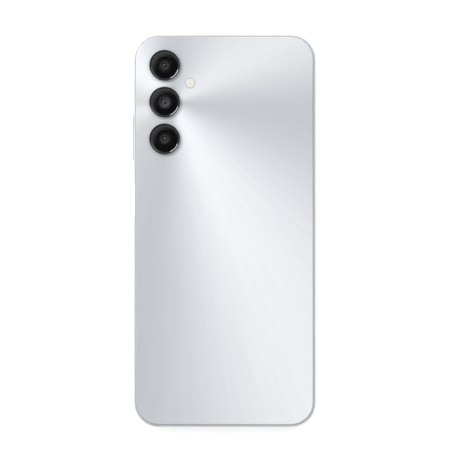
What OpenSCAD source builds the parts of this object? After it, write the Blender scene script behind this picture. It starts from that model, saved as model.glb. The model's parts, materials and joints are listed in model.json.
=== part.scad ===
/* [Overall] */
// Width across the two long sides, without the volume key
phone_w = 77.8; // [66:0.1:94]
// Height from the bottom edge to the top edge
phone_h = 168; // [140:0.5:202]
// Thickness from the screen face to the rear panel, without the camera rings
phone_t = 8.8; // [8.7:0.1:10.5]
// Radius of the four corners seen from the front
corner_r = 10.5; // [7:0.1:13]

/* [Housing] */
// Thickness of the side wall of the frame
wall_t = 2.4; // [2.3:0.05:3]
// Width of the frame edge that shows around the rear panel
rim_w = 0.9; // [0.6:0.05:1.1]
// Rounding of the frame's front and back edges
frame_round = 0.6; // [0.3:0.05:0.8]
// How far the rear panel stands above the frame edge
panel_proud = 0.25; // [0.1:0.05:0.4]
// Thickness of the rear panel
panel_t = 0.9; // [0.7:0.05:1]
// Width and height of the soft edge around the rear panel
panel_soft = 0.4; // [0.2:0.05:0.6]
// Thickness of the metal plate in the middle of the phone
plate_t = 0.5; // [0.4:0.05:0.6]

/* [Screen] */
// Thickness of the cover glass
glass_t = 0.7; // [0.5:0.05:0.8]
// How far the cover glass stands out of the frame, so that the phone lies on it
glass_proud = 0.35; // [0.1:0.05:0.5]
// Width of the frame edge that shows around the cover glass
glass_rim = 0.7; // [0.5:0.05:0.9]
// Thickness of the display cell with its optical adhesive
cell_t = 0.75; // [0.6:0.05:0.8]
// Thickness of the backlight
backlight_t = 0.8; // [0.6:0.05:0.85]
// Distance from the phone's side to the opening that the display sits in
display_inset = 2.7; // [2.3:0.05:3.2]

/* [Cameras] */
// Distance from the left side to the centres of the cameras
camera_from_side = 13.2; // [12.5:0.1:15]
// Distance from the top edge to the centre of the top camera
camera_from_top = 13.15; // [11:0.05:16]
// Distance between the centres of neighbouring cameras
camera_pitch = 15.74; // [14.5:0.02:17]
// Outer radius of a camera ring
ring_r = 6.55; // [6.3:0.05:7]
// Height of a camera ring above the rear panel
ring_proud = 1.1; // [0.8:0.05:1.6]
// Radius of a camera window
window_r = 5.7; // [5.4:0.02:5.9]
// Side of the square main camera housing
main_camera_w = 9.6; // [8.6:0.1:10.4]
// Side of the square housing of the two small cameras
small_camera_w = 6.2; // [5.4:0.1:7.5]
// Focus travel of the main camera's lens barrel
focus_travel = 0.3; // [0.1:0.05:0.4]
// Radius of the flash lens
flash_r = 2.1; // [1.6:0.05:2.6]
// Distance from the camera centres to the flash, sideways
flash_offset = 11; // [10:0.1:14]
// Distance from the top edge to the flash
flash_from_top = 20.85; // [18:0.05:24]

/* [Keys] */
// Length of the volume key
volume_len = 20.8; // [18:0.1:25]
// Distance from the top edge to the middle of the volume key
volume_from_top = 43.6; // [40:0.1:50]
// Length of the power key
power_len = 11.6; // [10:0.1:13]
// Distance from the top edge to the middle of the power key
power_from_top = 71.2; // [64:0.1:80]
// Width of both keys, across the side of the phone
key_w = 2.6; // [2:0.1:3.2]
// How far the volume key stands out of the side
key_proud = 0.7; // [0.4:0.05:0.9]
// Depth of the hollow around the power key
scoop_depth = 0.35; // [0.2:0.05:0.5]
// Travel of each switch under a key
key_travel = 0.2; // [0.1:0.05:0.25]

/* [Card tray] */
// Length of the tray's outer face
tray_head_len = 17.4; // [17.2:0.1:19]
// Height of the tray's outer face
tray_head_w = 2.8; // [2.6:0.1:3.4]
// Distance from the top edge to the middle of the tray's outer face
tray_from_top = 32; // [31:0.1:34]
// Thickness of the tray
tray_t = 0.9; // [0.8:0.05:1]
// Radius of the hole for the eject pin
eject_hole_r = 0.55; // [0.45:0.05:0.6]
// Travel of the eject mechanism
eject_travel = 1.6; // [1:0.1:1.8]

/* [Sockets] */
// Distance from the screen face to the centre line of the sockets and side parts
socket_z = 5; // [4.9:0.05:5.2]
// Radius of the headphone jack's bore
jack_r = 1.78; // [1.76:0.01:1.82]
// Distance from the right side to the headphone jack
jack_from_side = 16.85; // [15:0.05:18]
// Radius of each loudspeaker hole
grille_r = 0.6; // [0.4:0.05:0.8]
// Distance between loudspeaker holes
grille_pitch = 2.2; // [1.8:0.1:2.4]
// Number of loudspeaker holes
grille_count = 6; // [4:1:6]

/* [Inside] */
// Free channel on each side of the battery
side_channel = 5; // [4.9:0.1:7]
// Distance from the centre of the bottom camera down to the battery's bay
bay_below_camera = 7.2; // [7:0.1:12]
// Distance from the bottom edge to the battery's bay
bay_from_bottom = 25.4; // [25:0.1:30]
// Thickness of the battery
battery_t = 4.45; // [3:0.05:4.7]
// Thickness of the circuit boards
board_t = 0.8; // [0.6:0.05:0.9]
// Radius of the vibration motor
motor_r = 5; // [4:0.1:5.2]

/* [Hidden] */
$fn = 64;
soft_fn = 32;
over = 0.01;

// Clearances
panel_gap = 0.05;
glass_gap = 0.05;
board_gap = 0.35;
key_end_gap = 0.15;
key_side_gap = 0.1;
touch_gap = 0.05;
seat_gap = 0.05;
pivot_gap = 0.04;
barrel_gap = 0.05;
module_gap = 0.05;
tray_gap = 0.08;
screw_gap = 0.02;
cone_gap = 0.3;

// Outline of the phone
half_w = phone_w / 2;
half_h = phone_h / 2;
in_w = half_w - wall_t;
in_h = half_h - wall_t;

// Levels of the layers, from the screen face upwards
tape_t = 0.2;
rear_tape_t = 0.15;
glass_ledge_z = glass_t + tape_t;
cell_z = glass_t + cell_t;
backlight_z = cell_z + backlight_t;
flex_t = 0.12;
flex_lift = 0.1;
plate_z = backlight_z + 0.15;
floor_z = plate_z + plate_t;
panel_z = phone_t - panel_t;
ledge_z = panel_z - rear_tape_t;
frame_back = phone_t - panel_proud;
board_z = floor_z + board_gap;
board_top = board_z + board_t;

// Covers and their screws
cover_t = 0.55;
cover_top = ledge_z - 0.1;
cover_z = cover_top - cover_t;
led_z = cover_z - 0.1;
stud_top = 5.05;
stud_r = 1.5;
stud_foot_r = 2;
foot_r = 2;
foot_t = 0.8;
screw_r = 0.7;
screw_head_r = 1.2;
screw_head_t = 0.55;
screw_len = 2.4;
screw_well_r = 1.5;

// Cameras
camera_x = camera_from_side - half_w;
camera_y = [for (i = [0:2]) half_h - camera_from_top - i * camera_pitch];
ring_top = phone_t + ring_proud;
window_t = 0.55;
window_z = ring_top - 0.15 - window_t;
ring_barrel_r = 5.6;
ring_bore_r = 4.6;
ring_bottom = ledge_z - 0.15;
module_top = ring_bottom - 0.25;
small_camera_h = 2.2;
main_barrel_r = 3.2;
small_barrel_r = 2.4;
barrel_top = window_z - focus_travel - 0.6;
cradle_half_w = 6.2;
cradle_top = module_top - small_camera_h + 1.05;
flash_x = camera_x + flash_offset;
flash_y = half_h - flash_from_top;

// Keys, listed as the middle of each switch along the side
side_x = -half_w;
volume_y = half_h - volume_from_top;
power_y = half_h - power_from_top;
switch_arm = 8;
key_skin = 1.2;
flange_t = 0.4;
flange_over = 1.3;
flange_w = key_w + 1;
tilt_room = (volume_len / 2 + flange_over) / switch_arm * key_travel + 0.06;
flange_x = side_x + key_skin + tilt_room;
pivot_r = tilt_room - touch_gap;
post_tip_x = side_x + 2.6;
post_r = 0.6;
actuator_r = 0.8;
actuator_len = 0.85;
switch_x = side_x + 3.15;
switch_pocket_x = post_tip_x + touch_gap + actuator_len + key_travel + 0.2;
switch_floor_t = 0.05;
switch_len = 3.6;
switch_w = 2.8;
switch_y = [volume_y + switch_arm, volume_y - switch_arm, power_y];
key_flex_x = switch_pocket_x + switch_floor_t;
key_flex_w = 3;
scoop_end = 1.4;
scoop_margin = 0.15;

// Card tray and its eject mechanism
tray_head_t = 1.6;
tray_y = half_h - tray_from_top;
tray_edge = tray_y - 5.9;
tray_far_edge = tray_y + 7.5;
pin_y = tray_y - 7.15;
card_wall = 0.8;
sim_len = 8.9;
sim_w = 12.4;
memory_len = 15.1;
memory_w = 11.1;
card_depth = 0.7;
card_lip = 1;
tray_neck = 2.1;
tray_head_x = half_w - tray_head_t;
card_x1 = tray_head_x - tray_neck;
card_x2 = card_x1 - sim_len - card_wall;
card_x3 = card_x2 - sim_len - card_wall;
tray_end_x = card_x3 - memory_len - card_wall;
tray_z = socket_z - tray_t / 2;
seal_t = 0.6;
seal_wall = 0.5;
lever_arm = 6;
nose_r = 0.9;
lever_w = 1;
lever_t = 0.8;
lever_gap = 0.08;
lever_pin_r = 0.5;
slider_t = 1.2;
slider_x = tray_end_x - touch_gap - slider_t;
lever_x = slider_x - lever_gap - nose_r;
lever_y = pin_y + lever_arm;
rod_w = 1.2;
rod_end_x = tray_head_x - 1.3;
cage_wall = 0.25;
cage_x = lever_x - nose_r - eject_travel - 0.5;
cage_y = pin_y - nose_r - 0.5;
cage_far_y = tray_far_edge + 0.5;
cage_top = socket_z + tray_t / 2 + 0.3;

// Sockets along the bottom edge
usb_w = 8.94;
usb_h = 3.26;
usb_wall = 0.3;
usb_len = 7.35;
usb_set_back = 0.4;
usb_y = usb_set_back - half_h;
jack_x = half_w - jack_from_side;
jack_w = 6.2;
jack_h = 4.1;
jack_y = 0.1 - in_h;
jack_plug = 14.6;
jack_end_wall = 1.1;
jack_end_y = jack_plug - half_h + jack_end_wall;
mic_hole_r = 0.5;
mic_x = 8.5;
top_mic_x = in_w - 10.5;
mic_size = [3, 2, 1];
mesh_t = 0.15;

// Battery bay and circuit boards
rib_t = 0.8;
rib_top = 4.5;
bay_top = camera_y[2] - bay_below_camera;
bay_bottom = bay_from_bottom - half_h;
battery_half_w = in_w - side_channel;
battery_top = bay_top - 3.7;
battery_bottom = bay_bottom + 0.6;
strip_x = in_w - 4.4;
strip_w = 3.4;
strip_z = floor_z + flex_lift;
board_x = camera_x + 7.2;
board_right = in_w - 0.8;
board_y = bay_top + 1.8;
board_far_y = in_h - 2.1;
board_step_y = board_far_y - 5.9;
sub_x = -11.8;
sub_y = 1.2 - in_h;
sub_far_y = bay_bottom - 1.6;
sub_arm_y = jack_end_y + 0.5;
sub_right = jack_x - jack_w / 2 - 0.5;
upper_screws = [
    [board_x + 2.3, board_far_y - 2.5],
    [board_x + 2.3, board_y + 2.4],
    [board_right - 2.6, board_far_y - 2.5],
    [board_right - 2.6, tray_far_edge + 6],
    [board_right - 8.7, board_y + 2.4],
    [8, board_y + 2.4]
];
lower_screws = [
    [sub_x + 2.5, sub_far_y - 2.4],
    [sub_x + 2.5, sub_y + 3],
    [sub_right - 3.6, sub_y + 3],
    [sub_right - 3.6, sub_far_y - 2.4],
    [board_right - 8.2, sub_far_y - 3.2]
];

// Loudspeaker, motor, earpiece and front camera
speaker_x0 = 1.2 - in_w;
speaker_x1 = sub_x - 0.5;
speaker_inset = 0.6;
speaker_y0 = speaker_inset - in_h;
speaker_y1 = bay_bottom - 1.6;
speaker_top = cover_z;
speaker_wall = 0.6;
cone_size = [14, 10];
cone_t = 0.3;
cone_z = socket_z + 0.45;
grille_x = (speaker_x0 + speaker_x1) / 2 + 4;
grille_len = grille_count * grille_pitch + 1.2;
motor_x = in_w - motor_r - 0.6;
motor_y = motor_r + 2.1 - in_h;
motor_h = 2.8;
motor_z = floor_z + seat_gap;
motor_wall = 0.25;
shaft_r = 0.4;
front_camera_y = half_h - 7.2;
front_camera_w = 6.2;
front_barrel_r = 1.6;
notch_r = 3.2;
earpiece_x = 6;
earpiece_size = [14, 6, 2.6];
earpiece_y = board_step_y + 0.8;
earpiece_wall = 0.5;
slit_w = 12;
slit_t = 0.6;

// Rectangle with true round corners, centred
module rounded(w, h, r) {
    square([w - 2 * r, h], center = true);
    square([w, h - 2 * r], center = true);
    for (x = [-1, 1], y = [-1, 1])
        translate([x * (w / 2 - r), y * (h / 2 - r)]) circle(r);
}

// Layer between two levels that follows the phone's outline at a distance from its edge
module layer(inset, z0, z1) {
    translate([0, 0, z0])
        linear_extrude(z1 - z0)
            rounded(phone_w - 2 * inset, phone_h - 2 * inset, corner_r - inset);
}

// Block between two opposite corners
module block(lo, hi) {
    translate(lo) cube(hi - lo);
}

// Block that stops at a distance from the phone's outline, so it fits the frame's corners
module fitted_block(lo, hi, inset) {
    intersection() {
        block(lo, hi);
        layer(inset, lo.z - 1, hi.z + 1);
    }
}

// Block between two opposite corners with its upright edges rounded
module pad(lo, hi, r) {
    translate([(lo.x + hi.x) / 2, (lo.y + hi.y) / 2, lo.z])
        linear_extrude(hi.z - lo.z)
            rounded(hi.x - lo.x, hi.y - lo.y, r);
}

// Upright cylinder between two levels
module post(x, y, z0, z1, r) {
    translate([x, y, z0]) cylinder(h = z1 - z0, r = r);
}

// Cylinder along X
module rod_x(x0, x1, y, z, r) {
    translate([x0, y, z]) rotate([0, 90, 0]) cylinder(h = x1 - x0, r = r);
}

// Cylinder along Y
module rod_y(y0, y1, x, z, r) {
    translate([x, y1, z]) rotate([90, 0, 0]) cylinder(h = y1 - y0, r = r);
}

// Rounded bar along X, length measured along Y and width along Z
module bar_x(x0, x1, y, length, width, r) {
    translate([x0, y, socket_z])
        rotate([90, 0, 90])
            linear_extrude(x1 - x0) rounded(length, width, r);
}

// Rounded bar along Y, length measured along X and height along Z
module bar_y(y0, y1, x, length, height, r) {
    translate([x, y1, socket_z])
        rotate([90, 0, 0])
            linear_extrude(y1 - y0) rounded(length, height, r);
}

// Outer shape of the frame, with quarter-round front and back edges
module frame_envelope() {
    hull()
        for (step = [0:30:90]) {
            inset = frame_round * (1 - sin(step));
            drop = frame_round * (1 - cos(step));
            layer(inset, glass_proud + drop, frame_back - drop);
        }
}

// Hollow in the frame around the power key, with a ramp at each end
module power_scoop() {
    floor_half = power_len / 2 + scoop_margin;
    translate([0, power_y, 0])
        linear_extrude(phone_t)
            polygon([
                [side_x - 1, -floor_half - 2 * scoop_end],
                [side_x - over, -floor_half - scoop_end],
                [side_x + scoop_depth, -floor_half],
                [side_x + scoop_depth, floor_half],
                [side_x - over, floor_half + scoop_end],
                [side_x - 1, floor_half + 2 * scoop_end]
            ]);
}

module key_opening(y, length) {
    bar_x(side_x - 1, side_x + key_skin + over, y,
        length + 2 * key_end_gap, key_w + 2 * key_side_gap, key_w / 2 - 0.1);
    bar_x(side_x + key_skin, over - in_w, y,
        length + 2 * flange_over + 1, flange_w + 0.5, 0.6);
}

module tray_opening() {
    bar_x(tray_head_x, half_w + 1, tray_y,
        tray_head_len + 2 * tray_gap, tray_head_w + 2 * tray_gap, tray_head_w / 2 - 0.1);
    slot_z = tray_t / 2 + seal_wall + 0.1;
    block([in_w - over, pin_y - 0.8, socket_z - slot_z],
        [tray_head_x + over, tray_far_edge + seal_wall + 0.1, socket_z + slot_z]);
}

module frame_rib(y, x0) {
    difference() {
        block([x0, y, floor_z], [in_w + over, y + rib_t, rib_top]);
        block([strip_x - 0.3, y - 1, floor_z - 1], [strip_x + strip_w + 0.3, y + rib_t + 1, floor_z + 0.5]);
    }
}

module side_frame() {
    color("Gainsboro")
        difference() {
            union() {
                difference() {
                    frame_envelope();
                    layer(wall_t, floor_z, phone_t);
                }
                frame_rib(bay_top, -battery_half_w - 1.8);
                frame_rib(bay_bottom - rib_t, -in_w - over);
            }
            layer(rim_w, ledge_z, phone_t + 1);
            layer(glass_rim, -1, glass_ledge_z);
            layer(display_inset, -1, plate_z + over);
            layer(wall_t - 0.8, plate_z, floor_z);
            power_scoop();
            key_opening(volume_y, volume_len);
            key_opening(power_y, power_len);
            tray_opening();
            bar_y(-half_h - 1, over - in_h, 0, usb_w + 0.2, usb_h + 0.2, 1.6);
            rod_y(-half_h - 1, over - in_h, jack_x, socket_z, jack_r + 0.22);
            rod_y(-half_h - 1, over - in_h, mic_x, socket_z, mic_hole_r);
            rod_y(in_h - over, half_h + 1, top_mic_x, socket_z, mic_hole_r);
            for (i = [0:grille_count - 1])
                rod_y(-half_h - 1, over - in_h,
                    grille_x + (i - (grille_count - 1) / 2) * grille_pitch, socket_z, grille_r);
            block([-slit_w / 2, half_h - display_inset - over, glass_ledge_z - over],
                [slit_w / 2, half_h - glass_rim - 0.15, glass_ledge_z + 0.8]);
        }
}

module rear_panel() {
    inset = rim_w + panel_gap;
    color("Silver")
        difference() {
            hull() {
                layer(inset, panel_z, phone_t - panel_soft);
                layer(inset + panel_soft * 0.3, phone_t - panel_soft, phone_t - panel_soft * 0.3);
                layer(inset + panel_soft, phone_t - over, phone_t);
            }
            for (y = camera_y)
                post(camera_x, y, panel_z - 1, phone_t + 1, ring_barrel_r + panel_gap);
            post(flash_x, flash_y, panel_z - 1, phone_t + 1, flash_r + panel_gap);
        }
}

module rear_panel_tape() {
    color("DimGray")
        difference() {
            layer(rim_w + panel_gap + 0.2, ledge_z, panel_z);
            layer(wall_t - 0.15, ledge_z - 1, panel_z + 1);
        }
}

module cover_glass() {
    color("Black")
        difference() {
            layer(glass_rim + glass_gap, 0, glass_t);
            block([-slit_w / 2, half_h - glass_rim - glass_gap - slit_t, -1],
                [slit_w / 2, half_h, glass_t + 1]);
        }
}

module cover_glass_tape() {
    color("DimGray")
        difference() {
            layer(glass_rim + 0.3, glass_t, glass_ledge_z);
            layer(display_inset - 0.1, glass_t - 1, glass_ledge_z + 1);
            block([-slit_w / 2 - 0.3, 0, glass_t - 1], [slit_w / 2 + 0.3, half_h, glass_ledge_z + 1]);
        }
}

// Opening at the top of the display for the front camera
module display_notch() {
    post(0, front_camera_y, -1, plate_z, notch_r);
    block([-notch_r, front_camera_y, -1], [notch_r, half_h, plate_z]);
}

module display_panel() {
    color("DarkSlateGray")
        difference() {
            layer(display_inset + 0.25, glass_t, cell_z);
            display_notch();
        }
}

module backlight_unit() {
    color("WhiteSmoke")
        difference() {
            layer(display_inset + 0.55, cell_z, backlight_z);
            display_notch();
        }
}

module display_flex() {
    end_y = display_inset + 0.25 - half_h;
    fold_y = end_y - 0.05;
    tail_y = sub_far_y - 4;
    color("Peru") {
        block([-14, fold_y - flex_t, glass_t + 0.3], [14, end_y, glass_t + 0.3 + flex_t]);
        block([-14, fold_y - flex_t, glass_t + 0.3], [14, fold_y, backlight_z + flex_t]);
        block([-14, fold_y - flex_t, backlight_z], [14, tail_y, backlight_z + flex_t]);
        block([-3, tail_y - flex_t, backlight_z], [3, tail_y, board_z]);
    }
}

module stud(at) {
    post(at.x, at.y, floor_z - over, board_z, stud_foot_r);
    post(at.x, at.y, board_z - over, stud_top, stud_r);
}

module mid_plate() {
    color("DarkGray")
        difference() {
            union() {
                layer(wall_t - 0.8, plate_z, floor_z);
                for (at = concat(upper_screws, lower_screws)) stud(at);
            }
            for (at = concat(upper_screws, lower_screws))
                post(at.x, at.y, stud_top - screw_len + foot_t - 0.1, stud_top + 1, screw_r + screw_gap);
            post(0, front_camera_y, plate_z - 1, floor_z + 1, front_barrel_r + 0.3);
            block([-3.4, sub_far_y - 4.4, plate_z - 1], [3.4, sub_far_y - 3.7, floor_z + 1]);
            block([earpiece_x + 2, earpiece_y + 4, plate_z - 1],
                [earpiece_x + 8, earpiece_y + 5.2, floor_z + 1]);
        }
}

module camera_ring(i) {
    seat_r = window_r + touch_gap;
    color("Black")
        translate([camera_x, camera_y[i], 0])
            rotate_extrude()
                polygon([
                    [ring_bore_r, ring_bottom],
                    [ring_barrel_r, ring_bottom],
                    [ring_barrel_r, phone_t],
                    [ring_r, phone_t],
                    [ring_r, ring_top - 0.2],
                    [ring_r - 0.2, ring_top],
                    [seat_r + 0.3, ring_top],
                    [seat_r, ring_top - 0.3],
                    [seat_r, window_z],
                    [ring_bore_r, window_z]
                ]);
}

module camera_window(i) {
    color("DimGray")
        post(camera_x, camera_y[i], window_z, window_z + window_t, window_r);
}

module camera_dust_seals() {
    color("DimGray")
        for (y = camera_y)
            difference() {
                post(camera_x, y, module_top, ring_bottom, ring_barrel_r - 0.9);
                post(camera_x, y, module_top - 1, ring_bottom + 1, main_barrel_r + 0.4);
            }
}

module camera_cradle() {
    main_half = main_camera_w / 2 + module_gap;
    small_half = small_camera_w / 2 + module_gap;
    small_floor = module_top - small_camera_h;
    color("DarkSlateGray")
        difference() {
            pad([camera_x - cradle_half_w, camera_y[2] - 5.2, floor_z],
                [camera_x + cradle_half_w, camera_y[0] + 5.2, cradle_top], 1);
            block([camera_x - main_half, camera_y[1] - main_half, floor_z - 1],
                [camera_x + main_half, camera_y[1] + main_half, cradle_top + 1]);
            for (y = [camera_y[0], camera_y[2]])
                block([camera_x - small_half, y - small_half, small_floor],
                    [camera_x + small_half, y + small_half, cradle_top + 1]);
            block([-half_w, camera_y[1] - 8.9, floor_z - 1], [half_w, camera_y[1] - 6.5, floor_z + 0.5]);
        }
}

module main_camera_housing() {
    half = main_camera_w / 2;
    color("Silver")
        difference() {
            pad([camera_x - half, camera_y[1] - half, floor_z],
                [camera_x + half, camera_y[1] + half, module_top], 0.5);
            post(camera_x, camera_y[1], floor_z + 0.6, module_top + 1, main_barrel_r + barrel_gap);
        }
}

module main_camera_barrel() {
    color("Black")
        difference() {
            post(camera_x, camera_y[1], floor_z + 0.8, barrel_top, main_barrel_r);
            translate([camera_x, camera_y[1], barrel_top - 0.6])
                cylinder(h = 0.6 + over, r1 = 0.9, r2 = 2.1);
        }
}

module small_camera(y) {
    half = small_camera_w / 2;
    color("DimGray")
        difference() {
            union() {
                pad([camera_x - half, y - half, module_top - small_camera_h],
                    [camera_x + half, y + half, module_top], 0.4);
                post(camera_x, y, module_top - over, barrel_top, small_barrel_r);
            }
            translate([camera_x, y, barrel_top - 0.5])
                cylinder(h = 0.5 + over, r1 = 0.6, r2 = 1.5);
        }
}

module flash_lens() {
    color("Ivory") {
        post(flash_x, flash_y, panel_z - 0.2, panel_z, flash_r + 0.5);
        post(flash_x, flash_y, panel_z - over, phone_t - 0.03, flash_r);
    }
}

module flash_led() {
    color("Khaki") {
        post(flash_x, flash_y, led_z, led_z + 0.2, 2.5);
        block([flash_x - 1, flash_y - 1, led_z + 0.2 - over], [flash_x + 1, flash_y + 1, led_z + 0.6]);
    }
}

module front_camera() {
    half = front_camera_w / 2;
    color("Black") {
        pad([-half, front_camera_y - half, floor_z], [half, front_camera_y + half, floor_z + 2.6], 0.5);
        post(0, front_camera_y, glass_ledge_z + 0.05, floor_z + over, front_barrel_r);
    }
}

module volume_key() {
    color("Gainsboro") {
        hull() {
            bar_x(side_x - key_proud, side_x - key_proud + over, volume_y,
                volume_len - 0.5, key_w - 0.5, key_w / 2 - 0.35, $fn = soft_fn);
            bar_x(side_x - key_proud + 0.25, flange_x + over, volume_y,
                volume_len, key_w, key_w / 2 - 0.1, $fn = soft_fn);
        }
        bar_x(flange_x, flange_x + flange_t, volume_y,
            volume_len + 2 * flange_over, flange_w, 0.5);
        post(flange_x, volume_y, socket_z - flange_w / 2, socket_z + flange_w / 2, pivot_r);
        for (y = [volume_y - switch_arm, volume_y + switch_arm])
            rod_x(flange_x + flange_t - over, post_tip_x, y, socket_z, post_r);
    }
}

module power_key() {
    cap_x = side_x + scoop_depth - 0.2;
    power_flange_x = side_x + key_skin + touch_gap;
    color("Gainsboro") {
        difference() {
            bar_x(cap_x, power_flange_x + over, power_y, power_len, key_w, key_w / 2 - 0.1);
            bar_x(cap_x - 1, cap_x + 0.5, power_y, power_len - 0.8, key_w - 0.8, key_w / 2 - 0.5);
        }
        bar_x(power_flange_x, power_flange_x + flange_t, power_y,
            power_len + 2 * flange_over, flange_w, 0.5);
        rod_x(power_flange_x + flange_t - over, post_tip_x, power_y, socket_z, post_r);
    }
}

module fingerprint_sensor() {
    cap_x = side_x + scoop_depth - 0.2;
    color("Silver")
        bar_x(cap_x + 0.05, cap_x + 0.5, power_y, power_len - 0.86, key_w - 0.86, key_w / 2 - 0.53);
}

module actuator(i) {
    color("DimGray")
        rod_x(post_tip_x + touch_gap, post_tip_x + touch_gap + actuator_len, switch_y[i],
            socket_z, actuator_r);
}

module key_switches() {
    color("Silver")
        for (y = switch_y)
            difference() {
                block([switch_x, y - switch_len / 2, socket_z - switch_w / 2],
                    [key_flex_x, y + switch_len / 2, socket_z + switch_w / 2]);
                rod_x(switch_x - 1, switch_pocket_x, y, socket_z, actuator_r + 0.1);
            }
}

module side_key_flex() {
    end = key_flex_x + flex_t;
    low = socket_z - key_flex_w / 2;
    tail_y = camera_y[1] - 7.7;
    tail_x = board_x - 0.2;
    under = floor_z + flex_lift;
    color("Peru") {
        block([key_flex_x, power_y - 3, low], [end, volume_y + switch_arm + 3, low + key_flex_w]);
        block([key_flex_x, tail_y - 1, under], [end, tail_y + 1, low + over]);
        block([key_flex_x, tail_y - 1, under], [tail_x, tail_y + 1, under + flex_t]);
        block([tail_x - flex_t, tail_y - 1, under], [tail_x, tail_y + 1, board_top + flex_t]);
        block([tail_x - flex_t, tail_y - 1, board_top], [board_x + 1.2, tail_y + 1, board_top + flex_t]);
    }
}

// Seat for one card: a shallow pocket with a window through its floor
module card_seat(x1, length, width) {
    low_y = (tray_edge + tray_far_edge - width) / 2;
    block([x1 - length, low_y, tray_z + tray_t - card_depth], [x1, low_y + width, tray_z + tray_t + 1]);
    block([x1 - length + card_lip, low_y + card_lip, tray_z - 1],
        [x1 - card_lip, low_y + width - card_lip, tray_z + tray_t + 1]);
}

module sim_tray() {
    color("Gainsboro")
        difference() {
            union() {
                bar_x(tray_head_x, half_w, tray_y, tray_head_len, tray_head_w, tray_head_w / 2 - 0.1);
                block([tray_end_x, tray_edge, tray_z], [tray_head_x + over, tray_far_edge, tray_z + tray_t]);
            }
            rod_x(tray_head_x - 1, half_w + 1, pin_y, socket_z, eject_hole_r);
            card_seat(card_x1, sim_len, sim_w);
            card_seat(card_x2, sim_len, sim_w);
            card_seat(card_x3, memory_len, memory_w);
        }
}

module tray_seal() {
    color("DimGray")
        difference() {
            block([tray_head_x - seal_t, tray_edge - seal_wall, tray_z - seal_wall],
                [tray_head_x, tray_far_edge + seal_wall, tray_z + tray_t + seal_wall]);
            block([tray_head_x - 1 - seal_t, tray_edge, tray_z],
                [tray_head_x + 1, tray_far_edge, tray_z + tray_t]);
        }
}

module sim_socket() {
    color("Silver") {
        difference() {
            block([cage_x, cage_y, board_top], [board_right, cage_far_y, cage_top]);
            block([cage_x + cage_wall, cage_y + cage_wall, board_top + cage_wall],
                [board_right + 1, cage_far_y - cage_wall, cage_top - cage_wall / 2]);
        }
        post(lever_x, lever_y, board_top + over, cage_top - over, lever_pin_r);
    }
}

module eject_slider() {
    color("DimGray")
        block([slider_x, tray_edge + 0.2, socket_z - lever_t / 2],
            [slider_x + slider_t, tray_far_edge - 0.2, socket_z + lever_t / 2]);
}

module eject_rod() {
    color("Silver") {
        block([lever_x + nose_r + lever_gap, pin_y - rod_w / 2, socket_z - lever_t / 2],
            [rod_end_x, pin_y + rod_w / 2, socket_z + lever_t / 2]);
    }
}

module eject_lever() {
    color("Silver")
        translate([lever_x, lever_y, socket_z - lever_t / 2])
            difference() {
                union() {
                    translate([-lever_w / 2, -lever_arm, 0]) cube([lever_w, 2 * lever_arm, lever_t]);
                    for (y = [-lever_arm, lever_arm]) translate([0, y, 0]) cylinder(h = lever_t, r = nose_r);
                    cylinder(h = lever_t, r = nose_r);
                }
                translate([0, 0, -1]) cylinder(h = lever_t + 2, r = lever_pin_r + pivot_gap);
            }
}

module usb_c_shell() {
    back_y = usb_y + usb_len;
    color("Silver") {
        difference() {
            bar_y(usb_y, back_y, 0, usb_w, usb_h, 1.55);
            bar_y(usb_y - 1, back_y - usb_wall, 0, usb_w - 2 * usb_wall, usb_h - 2 * usb_wall, 1.25);
        }
        for (side = [-1, 1])
            translate([side * (usb_w / 2 + 0.45), back_y - 2.4, board_top + 0.15])
                cube([1.3, 1.4, 0.3], center = true);
    }
}

module usb_c_tongue() {
    back_y = usb_y + usb_len - usb_wall;
    color("DimGray") {
        bar_y(back_y - 1.3, back_y, 0, usb_w - 2 * usb_wall - 0.1, usb_h - 2 * usb_wall - 0.1, 1.2);
        block([-3.35, usb_y + 0.4, socket_z - 0.35], [3.35, back_y - 1.3 + over, socket_z + 0.35]);
    }
}

module headphone_jack() {
    color("DimGray")
        difference() {
            block([jack_x - jack_w / 2, jack_y, socket_z - jack_h / 2],
                [jack_x + jack_w / 2, jack_end_y, socket_z + jack_h / 2]);
            rod_y(jack_y - 1, jack_end_y - jack_end_wall, jack_x, socket_z, jack_r);
        }
}

// Racetrack outline of the loudspeaker's moving plate, grown by a margin
module cone_outline(margin) {
    rounded(cone_size.x + 2 * margin, cone_size.y + 2 * margin, 3 + margin);
}

// Chamber of the loudspeaker box between two levels, inside its walls
module speaker_chamber(z0, z1) {
    fitted_block([speaker_x0 + speaker_wall, speaker_y0 + speaker_wall, z0],
        [speaker_x1 - speaker_wall, speaker_y1 - speaker_wall, z1], wall_t + speaker_inset + speaker_wall);
}

module loudspeaker_box() {
    shelf = 0.5;
    color("DimGray")
        difference() {
            fitted_block([speaker_x0, speaker_y0, floor_z + seat_gap],
                [speaker_x1, speaker_y1, speaker_top], wall_t + speaker_inset);
            speaker_chamber(floor_z + seat_gap + speaker_wall, cone_z - shelf / 2);
            speaker_chamber(cone_z + shelf / 2, speaker_top - speaker_wall);
            translate([(speaker_x0 + speaker_x1) / 2, (speaker_y0 + speaker_y1) / 2, cone_z - 1])
                linear_extrude(2) cone_outline(cone_gap);
            block([grille_x - grille_len / 2, speaker_y0 - 1, socket_z - 1.2],
                [grille_x + grille_len / 2, speaker_y0 + speaker_wall + over, cone_z - shelf / 2]);
        }
}

module loudspeaker_cone() {
    color("DarkSlateGray")
        translate([(speaker_x0 + speaker_x1) / 2, (speaker_y0 + speaker_y1) / 2, cone_z - cone_t / 2])
            linear_extrude(cone_t) cone_outline(0);
}

module speaker_mesh() {
    color("Black")
        block([grille_x - grille_len / 2, -in_h, socket_z - 0.9],
            [grille_x + grille_len / 2, mesh_t - in_h, socket_z + 0.9]);
}

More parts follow.
